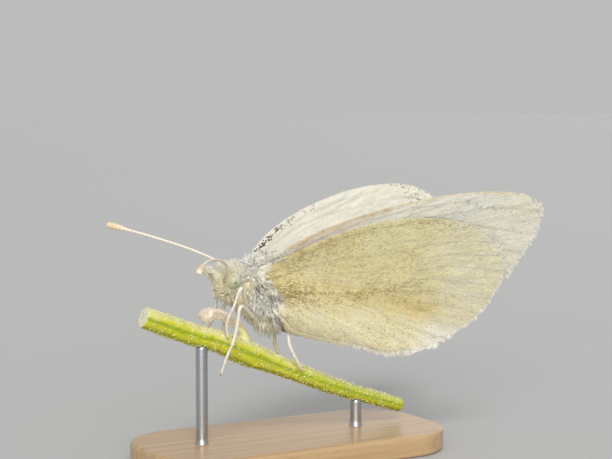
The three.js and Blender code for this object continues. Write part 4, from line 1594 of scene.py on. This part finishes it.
def stem_skin(route, share, shoot_route, shoot_radius):
    """The stem, ribbed and bumpy, and its shoot as one skin."""
    ribs = 0.045 * (np.abs(np.cos(np.arange(STEM_SIDES) * TAU / STEM_SIDES * 3)) - 0.5)
    wavering = 0.8 + 0.4 * drift(share * 9, 71)
    radius = (stem_radius(share) - 0.05)[:, None] + ribs[None] * wavering[:, None]
    shapes = (tube(route, radius, STEM_SIDES), tube(shoot_route, shoot_radius, 24))
    points, faces, normals = melded(shapes, 0.075, 4)
    bumps = ease(0.68, 0.88, drift(points * 3.0, 72)) * 0.07 + 0.015 * (drift(points * 5.5, 73) - 0.5)
    end_gap = norm(points[:, None] - route[[0, -1]], axis=2).min(axis=1)
    return points + normals * (bumps * ease(0.9, 1.4, end_gap))[:, None], faces


def stem_values(points, route, share):
    """Where places are on the stem: their turn from the top, on the shoot, at a cut end."""
    index = np.array([norm(route - point, axis=1).argmin() for point in points])
    along, across, over = route_frames(route)
    arm = points - route[index]
    rise = (arm * across[index]).sum(axis=1)
    beside = (arm * over[index]).sum(axis=1)
    off = norm(arm, axis=1)
    span = np.maximum(off, 0.1)
    shoot = ease(1, 1.35, off) * (points[:, 2] > 9)
    ends = np.maximum(
        ease(0.05, 0, (points - route[0]) @ along[0]), ease(-0.05, 0, (points - route[-1]) @ along[-1]))
    return {
        "top": rise / span,
        "beside": beside / span,
        "rib": np.abs(np.cos(3 * np.arctan2(beside, rise))),
        "along": share[index] * 25,
        "shoot": shoot * ease(-4.5, -5.4, points[:, 0]),
        "cut": ends * (off < 0.95),
        "bristle": 0.0,
    }


def stem_bristles(finish, route, shoot_route, shoot_radius, share):
    """Stiff pale bristles over the stem, and a crust of them along the shoot's top."""
    rng = draws("stem")
    sets = []

    def grow(roots, aims, lengths, widths, spots, pale):
        """Adds one set of bristles."""
        marks = stem_values(roots, route, share)
        marks.pop("along")
        marks["cut"] = marks["cut"] * 0
        marks["bristle"] = pale * rng.uniform(0.7, 1.0, len(roots))
        sets.append((hairs(roots, unit(aims), aims * 0.0, lengths, widths, spots), marks))

    for count, reach, lie, width in STEM_BRISTLES:
        index = rng.integers(6, len(route) - 6, count)
        turn = rng.uniform(0, TAU, count)
        roots, out, along = rooted_round(route, stem_radius(share) - 0.06, index, turn)
        roots = roots + along * rng.uniform(-0.05, 0.05, (count, 1))
        aims = out - along * lie * rng.uniform(0.4, 1.2, (count, 1)) + rng.normal(0, 0.2, (count, 3))
        lengths = reach * rng.uniform(0.6, 1.4, count)
        spots = columns(share[index], 0.02 + 0.6 * turn / TAU)
        grow(roots, aims, lengths, width * rng.uniform(0.8, 1.3, count), spots, 0.85)
    count = CRUST_BRISTLES
    index = rng.integers(24, len(shoot_route) - 1, count)
    turn = rng.normal(0, 1.2, count)
    roots, out, along = rooted_round(shoot_route, shoot_radius - 0.03, index, turn)
    aims = out + along * 0.4 + rng.normal(0, 0.45, (count, 3))
    lengths = rng.uniform(0.1, 0.34, count) * ease(20, 44, index) + 0.04
    spots = columns(index / len(shoot_route), 0.8 + 0.18 * np.clip(turn / 6, -0.5, 0.5))
    grow(roots, aims, lengths, rng.uniform(0.06, 0.13, count), spots, 1.0)
    coat_piece("perch_stem_bristles", sets, finish, "stem")


def stem_finish(look):
    """Yellow-green and ribbed, with a painted highlight along its top, rusty scars and a browned shoot tip.
    """
    finish = Finish("stem")
    place = finish.place()
    top = finish.value("top")
    grain = finish.vector(finish.value("along") * 0.22, top * 1.7, finish.value("beside") * 1.7)
    fibre = finish.noise(2.4, 3.0, at=grain)
    mottle = finish.noise(0.9, 3.0, 0.6, place)
    ribs = finish.value("rib") * 0.6 + fibre * 0.9
    scars = finish.noise(2.3, at=place)
    flakes = finish.rise(finish.noise(4.0, at=place), 0.3, 0.55)
    pores = finish.rise(finish.noise(5.0, at=place), 0.3, 0.7)
    colour = finish.layers(
        look.green,
        (finish.rise(ribs, 0.45, 1.05), look.lime),
        # Painted highlight: pale laid along the stem's top, where it faces up, broken by mottling.
        (finish.rise(top + mottle * 1.6, 0.9, 1.9) * 0.8, look.pale),
        (finish.rise(finish.value("along"), 11.0, 21.0) * 0.45, look.green),
        (finish.rise(scars, 0.68, 0.8) * 0.6, look.rust),
        (finish.value("shoot") * 0.9, finish.mix(flakes, look.scurf, look.crust)),
        (finish.value("bristle"), finish.mix(finish.value("shoot"), look.pale, look.crust)),
        (finish.value("cut"), finish.mix(pores, deeper(look.pith, 0.8), look.pith)))
    return finish.done(colour, 0.55, fibre + mottle, 0.06, Specular_IOR_Level=0.3)


# ---- stand


def base_board(low, high, finish):
    """A flat board with round corners and softened edges."""
    corner, soften, steps = 4.5, 0.32, 16
    half = (high - low)[:2] / 2
    arc = np.linspace(0, math.pi / 2, steps)
    outline = []
    for number, (sx, sy) in enumerate(((1, 1), (-1, 1), (-1, -1), (1, -1))):
        turn = arc + number * math.pi / 2
        centre = np.array((sx, sy)) * (half - corner)
        outline.append(centre + corner * columns(np.cos(turn), np.sin(turn)))
    outline = np.vstack(outline)
    facing = facing_of(outline)
    bends = np.linspace(0, math.pi / 2, 7)
    profile = [(soften * (1 - math.sin(b)), low[2] + soften * (1 - math.cos(b))) for b in bends]
    profile += [(soften * (1 - math.cos(b)), high[2] - soften * (1 - math.sin(b))) for b in bends]
    profile = [(half.min() * 0.6, low[2]), *profile, (half.min() * 0.6, high[2])]
    rings = [columns(*(outline + facing * inset).T, height) for inset, height in profile]
    points = np.vstack((*rings, (0, 0, low[2]), (0, 0, high[2])))
    faces = ring_faces(len(profile), len(outline))
    make_piece("stand_base_board", points, faces, finish, "stand_wood", ("stand_base",), smooth=False)


def stand_rod(name, foot, top, base_top, finish):
    """A round rod set into the base, its top eased into the stem."""
    middle = (foot + top) / 2
    radius = (top - foot)[0] / 2
    flare = 0.25
    set_in = base_top + np.array((-0.4, 0, 0.08, 0.2, 0.35))
    eased = top[2] + np.array((0.3, 0.55))
    heights = np.concatenate((set_in, np.linspace(base_top + 0.5, top[2], 12), eased))
    radii = radius * (0.94 + flare * bell(heights - base_top, 0.14))
    line = middle * (1, 1, 0) + heights[:, None] * (0, 0, 1)
    points, faces = tube(line, radii, 40, first=(1, 0, 0))
    make_piece(f"{name}_steel", points, faces, finish, "stand_steel", (name,))


def wood_finish(look):
    """Pale close-grained wood under a thin satin finish."""
    finish = Finish("stand_wood")
    broad = finish.noise(at=finish.place(0.035, 0.42, 0.42))
    lines = finish.noise(1.0, 3.0, 0.6, finish.place(0.05, 2.3, 2.3))
    pores = finish.noise(at=finish.place(0.5, 9, 9))
    colour = finish.layers(
        look.wood,
        (finish.rise(lines, 0.38, 0.68) * 0.45 + broad * 0.3, look.wood_dark),
        (finish.rise(pores, 0.58, 0.75) * 0.4, look.wood_dark))
    return finish.done(colour, 0.36 + 0.14 * pores, pores, 0.02, Coat_Weight=0.25, Coat_Roughness=0.2)


def steel_finish(look):
    """Steel brushed round the rod."""
    finish = Finish("stand_steel")
    brushing = finish.noise(at=finish.place(1.5, 1.5, 30))
    colour = finish.mix(brushing, deeper(look.steel, 0.85), look.steel)
    return finish.done(colour, 0.24 + 0.16 * brushing, brushing, 0.004, Metallic=1.0)


# ---- studio


def studio_floor(look):
    """A wide plain floor."""
    finish = Finish("floor")
    tone = finish.noise(0.02)
    colour = finish.mix(tone, deeper(look.floor, 0.97), look.floor)
    sides, radius = 96, 3.0  # metres
    turns = np.arange(sides) * TAU / sides
    rim = columns(np.cos(turns), np.sin(turns), 0) * radius
    points = np.vstack((rim, (0, 0, 0)))
    mesh = bpy.data.meshes.new("floor")
    mesh.from_pydata(points.tolist(), [], [(i, (i + 1) % sides, sides) for i in range(sides)])
    mesh.materials.append(finish.done(colour, 0.8))
    linked("floor", mesh)


def studio_lights(look):
    """Broad soft lights above, at the front and behind, and a pale sky."""
    for name, way, width, strength in (
        ("key", (-0.25, -0.62, 0.74), 18, look.key),
        ("fill", (-0.5, -0.83, 0.22), 50, look.fill),
        ("back", (0.7, 0.55, 0.45), 50, look.back),
    ):
        light = bpy.data.lights.new(name, "SUN")
        light.energy = strength
        light.angle = math.radians(width)
        linked(name, light).rotation_euler = (-Vector(way)).to_track_quat("-Z", "Y").to_euler()
    world = bpy.data.worlds.new("sky")
    world.use_nodes = True
    sky = world.node_tree.nodes["Background"]
    sky.inputs["Color"].default_value = (1, 1, 1, 1)
    sky.inputs["Strength"].default_value = look.sky
    bpy.context.scene.world = world


def studio_camera(look):
    """The camera, low at the butterfly's left front."""
    lens = bpy.data.cameras.new("camera")
    lens.lens = look.lens
    lens.sensor_width = 36
    lens.clip_start = 0.005
    lens.clip_end = 20
    aim = Vector((1.5, 0, 18.4)) * MM
    around, above = look.around, look.above
    away = Vector((math.sin(around) * math.cos(above), -math.cos(around) * math.cos(above), math.sin(above)))
    camera = linked("camera", lens)
    camera.location = aim + away * look.distance
    camera.rotation_euler = (-away).to_track_quat("-Z", "Y").to_euler()
    bpy.context.scene.camera = camera
    bpy.context.scene.view_settings.view_transform = "Standard"


# ---- settings


def length(name, description, default):
    """A size, in metres."""
    return bpy.props.FloatProperty(
        name=name, description=description, default=default, unit="LENGTH", subtype="DISTANCE", precision=6)


def colour(name, wearer, default):
    """The colour of what wears it."""
    return bpy.props.FloatVectorProperty(
        name=name, description="Colour of " + wearer, default=default, subtype="COLOR", min=0, max=1)


def power(name, where, default):
    """The strength of a light."""
    return bpy.props.FloatProperty(
        name=name, description="Strength of the light " + where, default=default, min=0.0)


def angle(name, description, default):
    """An angle, given in degrees."""
    return bpy.props.FloatProperty(
        name=name, description=description, default=math.radians(default), subtype="ANGLE")


class CoatSettings(PropertyGroup):
    """The hair of the body."""

    chest_hair: length("Chest hair", "Length of the hair on the thorax", 0.0006)
    head_hair: length("Head hair", "Length of the hair on the head", 0.0004)
    tail_hair: length("Abdomen hair", "Length of the hair on the abdomen", 0.0004)
    hair_width: length("Hair width", "Width of a hair at its root", 0.00007)
    white: colour("White", "the palest hair", (0.96, 0.96, 0.93))
    cream: colour("Cream", "the hair at the neck and below", (0.97, 0.865, 0.54))
    dark: colour("Dark", "the dark hairs", (0.025, 0.022, 0.02))


class WingSettings(PropertyGroup):
    """The wings and their scales."""

    scale_length: length("Scale length", "Length of a wing scale", 0.00023)
    scale_width: length("Scale width", "Width of a wing scale", 0.00013)
    fringe_length: length("Fringe length", "Length of the fringe along the outer margins", 0.00042)
    white: colour("White", "the whitest scales", (0.86, 0.85, 0.8))
    cream: colour("Cream", "the plain underside scales", (0.76, 0.72, 0.56))
    yellow: colour("Yellow", "the hindwing's underside", (0.76, 0.67, 0.33))
    gold: colour("Gold", "the deepest yellow scales", (0.67, 0.505, 0.155))
    rose: colour("Rose", "the strip below the forewing's front edge", (0.68, 0.54, 0.33))
    dark: colour("Dark", "the dark scales", (0.07, 0.042, 0.02))


class HeadSettings(PropertyGroup):
    """The eyes and feelers."""

    eye: colour("Eye", "the eyes", (0.42, 0.44, 0.27))
    eye_pale: colour("Eye bloom", "the eyes' paler upper part", (0.585, 0.54, 0.46))
    eye_rim: colour("Eye rim", "the eyes' front edge", (0.62, 0.55, 0.28))
    eye_spot: colour("Eye spots", "the dark spots in the eyes", (0.06, 0.05, 0.035))
    feeler: colour("Feeler", "the feelers' shafts", (0.9, 0.78, 0.64))
    powder: colour("Powder", "the feelers' powdery scales", (0.88, 0.82, 0.72))
    club: colour("Club", "the feelers' clubs", (0.7, 0.54, 0.31))


class LegSettings(PropertyGroup):
    """The legs."""

    thigh: length("Thigh", "Radius of a leg's upper part", 0.00013)
    foot: length("Foot", "Radius of a leg's foot", 0.00008)
    colour: colour("Leg", "the legs", (0.94, 0.86, 0.72))
    claw: colour("Claw", "the claws", (0.12, 0.06, 0.03))
    green: colour("Green leg", "the tinge on the far hind leg", (0.62, 0.6, 0.16))
    bristle: colour("Bristle", "the legs' palest bristles", (0.96, 0.93, 0.84))


class PerchSettings(PropertyGroup):
    """The cut stem and its side shoot."""

    green: colour("Green", "the stem's shaded sides", (0.29, 0.37, 0.012))
    lime: colour("Lime", "the stem's ribs", (0.57, 0.57, 0.03))
    # pale colours the stem's bristles and also paints the highlight along the stem's top.
    pale: colour("Pale", "the stem's bristles and bloom", (0.84, 0.78, 0.46))
    rust: colour("Rust", "the stem's scars", (0.36, 0.16, 0.05))
    crust: colour("Crust", "the side shoot's crust", (0.97, 0.87, 0.73))
    scurf: colour("Scurf", "the crust between its flakes", (0.86, 0.71, 0.47))
    pith: colour("Pith", "the stem's cut ends", (0.78, 0.76, 0.52))


class StandSettings(PropertyGroup):
    """The display stand."""

    wood: colour("Wood", "the base", (0.56, 0.38, 0.2))
    wood_dark: colour("Grain", "the base's grain", (0.34, 0.2, 0.09))
    steel: colour("Steel", "the rods", (0.52, 0.53, 0.54))


class StudioSettings(PropertyGroup):
    """The floor, lights and camera."""

    floor: colour("Floor", "the floor", (0.494, 0.494, 0.49))
    key: power("Key light", "above", 1.0)
    fill: power("Fill light", "at the front", 2.05)
    back: power("Back light", "behind", 0.45)
    sky: power("Sky", "all round", 0.5)
    distance: length("Camera distance", "From the camera to its aim", 0.13)
    around: angle("Camera turn", "Camera's angle round the part from the front", -30)
    above: angle("Camera rise", "Camera's angle above its aim", 4.7)
    lens: bpy.props.FloatProperty(
        name="Lens", description="Focal length in millimetres", default=94.06, unit="CAMERA")


def look_of(kind):
    """The scene's settings for one kind of piece."""
    return getattr(bpy.context.scene, "butterfly_" + kind)


# ---- operators


class BUTTERFLY_OT_wings(Operator):
    """Builds the four wings: membranes, scales on both faces and fringes"""

    bl_idname = "butterfly.wings"
    bl_label = "Wings"

    def execute(self, context):
        look = look_of("wings")
        finish = wing_finish(look)
        for place in SIDES:
            step = 10 if place == "left" else 0
            fore, hind = Wing("fore", place), Wing("hind", place)
            wing_sheet(fore, finish)
            wing_sheet(hind, finish)
            coats = ((hind, 1, None), (fore, 1, hind), (fore, -1, None), (hind, -1, fore))
            for number, (wing, face, cover) in enumerate(coats):
                wing_scales(wing, face, look, finish, draws("scales", number + step), cover)
            for number, wing in enumerate((fore, hind)):
                wing_fringe(wing, look, finish, draws("fringes", number + step))
        return {"FINISHED"}


class BUTTERFLY_OT_body(Operator):
    """Builds the skin of the head, palps, thorax and abdomen, and grows their hair"""

    bl_idname = "butterfly.body"
    bl_label = "Body"

    def execute(self, context):
        look = look_of("coat")
        skin = body_skin(look)
        finish = coat_finish(look)
        thorax_hair(look, skin, finish)
        head_hair(look, skin, finish)
        abdomen_hair(look, skin, finish)
        wing_root_hair(look, finish)
        return {"FINISHED"}


class BUTTERFLY_OT_eyes(Operator):
    """Builds the two glossy eyes"""

    bl_idname = "butterfly.eyes"
    bl_label = "Eyes"

    def execute(self, context):
        look = look_of("head")
        for place, side in SIDES.items():
            eye_dome(place, side, look)
        return {"FINISHED"}


class BUTTERFLY_OT_feelers(Operator):
    """Builds the two ringed feelers with their clubs"""

    bl_idname = "butterfly.feelers"
    bl_label = "Feelers"

    def execute(self, context):
        finish = feeler_finish(look_of("head"))
        for name, joints in FEELER_ROUTES.items():
            feeler(name, joints, finish)
        return {"FINISHED"}


class BUTTERFLY_OT_legs(Operator):
    """Builds the six legs with their bristles, and their claws"""

    bl_idname = "butterfly.legs"
    bl_label = "Legs"

    def execute(self, context):
        look = look_of("legs")
        finish = leg_finish(look)
        rng = draws("legs")
        claws, coats = [], []
        for number, (name, joints) in enumerate(LEG_ROUTES.items()):
            bristles, hooks = leg_limb(name, joints, number, look, finish, rng)
            coats.append(bristles)
            claws += hooks
        coat_piece("coat_legs", coats, finish, "leg")
        make_piece("claws", *joined(claws), claw_finish(look), "leg")
        return {"FINISHED"}


class BUTTERFLY_OT_perch(Operator):
    """Builds the cut stem with its side shoot, and their bristles"""

    bl_idname = "butterfly.perch"
    bl_label = "Perch"

    def execute(self, context):
        look = look_of("perch")
        finish = stem_finish(look)
        share = np.linspace(0, 1, STEM_STEPS)
        route = smooth_route(STEM_ROUTE, STEM_STEPS)
        shoot_route, shoot_radius = smooth_route(SHOOT_ROUTE, SHOOT_STEPS), shoot_radii()
        points, faces = stem_skin(route, share, shoot_route, shoot_radius)
        values = stem_values(points, route, share)
        make_piece("perch_stem_bark", points, faces, finish, "stem", ("perch_stem",), values)
        stem_bristles(finish, route, shoot_route, shoot_radius, share)
        return {"FINISHED"}


class BUTTERFLY_OT_stand(Operator):
    """Builds the wooden base and the two steel rods"""

    bl_idname = "butterfly.stand"
    bl_label = "Stand"

    def execute(self, context):
        look = look_of("stand")
        low, high = corners_of("stand_base")
        base_board(low, high, wood_finish(look))
        steel = steel_finish(look)
        for name in ("stand_rod_head", "stand_rod_tail"):
            stand_rod(name, *corners_of(name), high[2], steel)
        return {"FINISHED"}


class BUTTERFLY_OT_studio(Operator):
    """Sets up the floor, the soft lights and the camera"""

    bl_idname = "butterfly.studio"
    bl_label = "Studio"

    def execute(self, context):
        look = look_of("studio")
        studio_floor(look)
        studio_lights(look)
        studio_camera(look)
        return {"FINISHED"}


class BUTTERFLY_PT_panel(Panel):
    """The butterfly's pieces and their settings"""

    bl_label = "Butterfly"
    bl_space_type = "VIEW_3D"
    bl_region_type = "UI"
    bl_category = "Butterfly"

    def draw(self, context):
        for kind, settings_class in SETTINGS.items():
            box = self.layout.box()
            box.label(text=settings_class.__doc__.rstrip("."))
            for name in settings_class.__annotations__:
                box.prop(look_of(kind), name)
        for operator in OPERATORS:
            self.layout.operator(operator.bl_idname)


SETTINGS = {
    "coat": CoatSettings, "wings": WingSettings, "head": HeadSettings, "legs": LegSettings,
    "perch": PerchSettings, "stand": StandSettings, "studio": StudioSettings,
}
OPERATORS = (
    BUTTERFLY_OT_studio, BUTTERFLY_OT_wings, BUTTERFLY_OT_body, BUTTERFLY_OT_eyes, BUTTERFLY_OT_feelers,
    BUTTERFLY_OT_legs, BUTTERFLY_OT_perch, BUTTERFLY_OT_stand,
)


def register():
    for kind, settings_class in SETTINGS.items():
        bpy.utils.register_class(settings_class)
        setattr(bpy.types.Scene, "butterfly_" + kind, bpy.props.PointerProperty(type=settings_class))
    for made in (*OPERATORS, BUTTERFLY_PT_panel):
        bpy.utils.register_class(made)


def unregister():
    for made in (BUTTERFLY_PT_panel, *reversed(OPERATORS)):
        bpy.utils.unregister_class(made)
    for kind, settings_class in SETTINGS.items():
        delattr(bpy.types.Scene, "butterfly_" + kind)
        bpy.utils.unregister_class(settings_class)


def main():
    register()
    for operator in OPERATORS:
        group, name = operator.bl_idname.split(".")
        getattr(getattr(bpy.ops, group), name)()


if __name__ == "__main__":
    main()
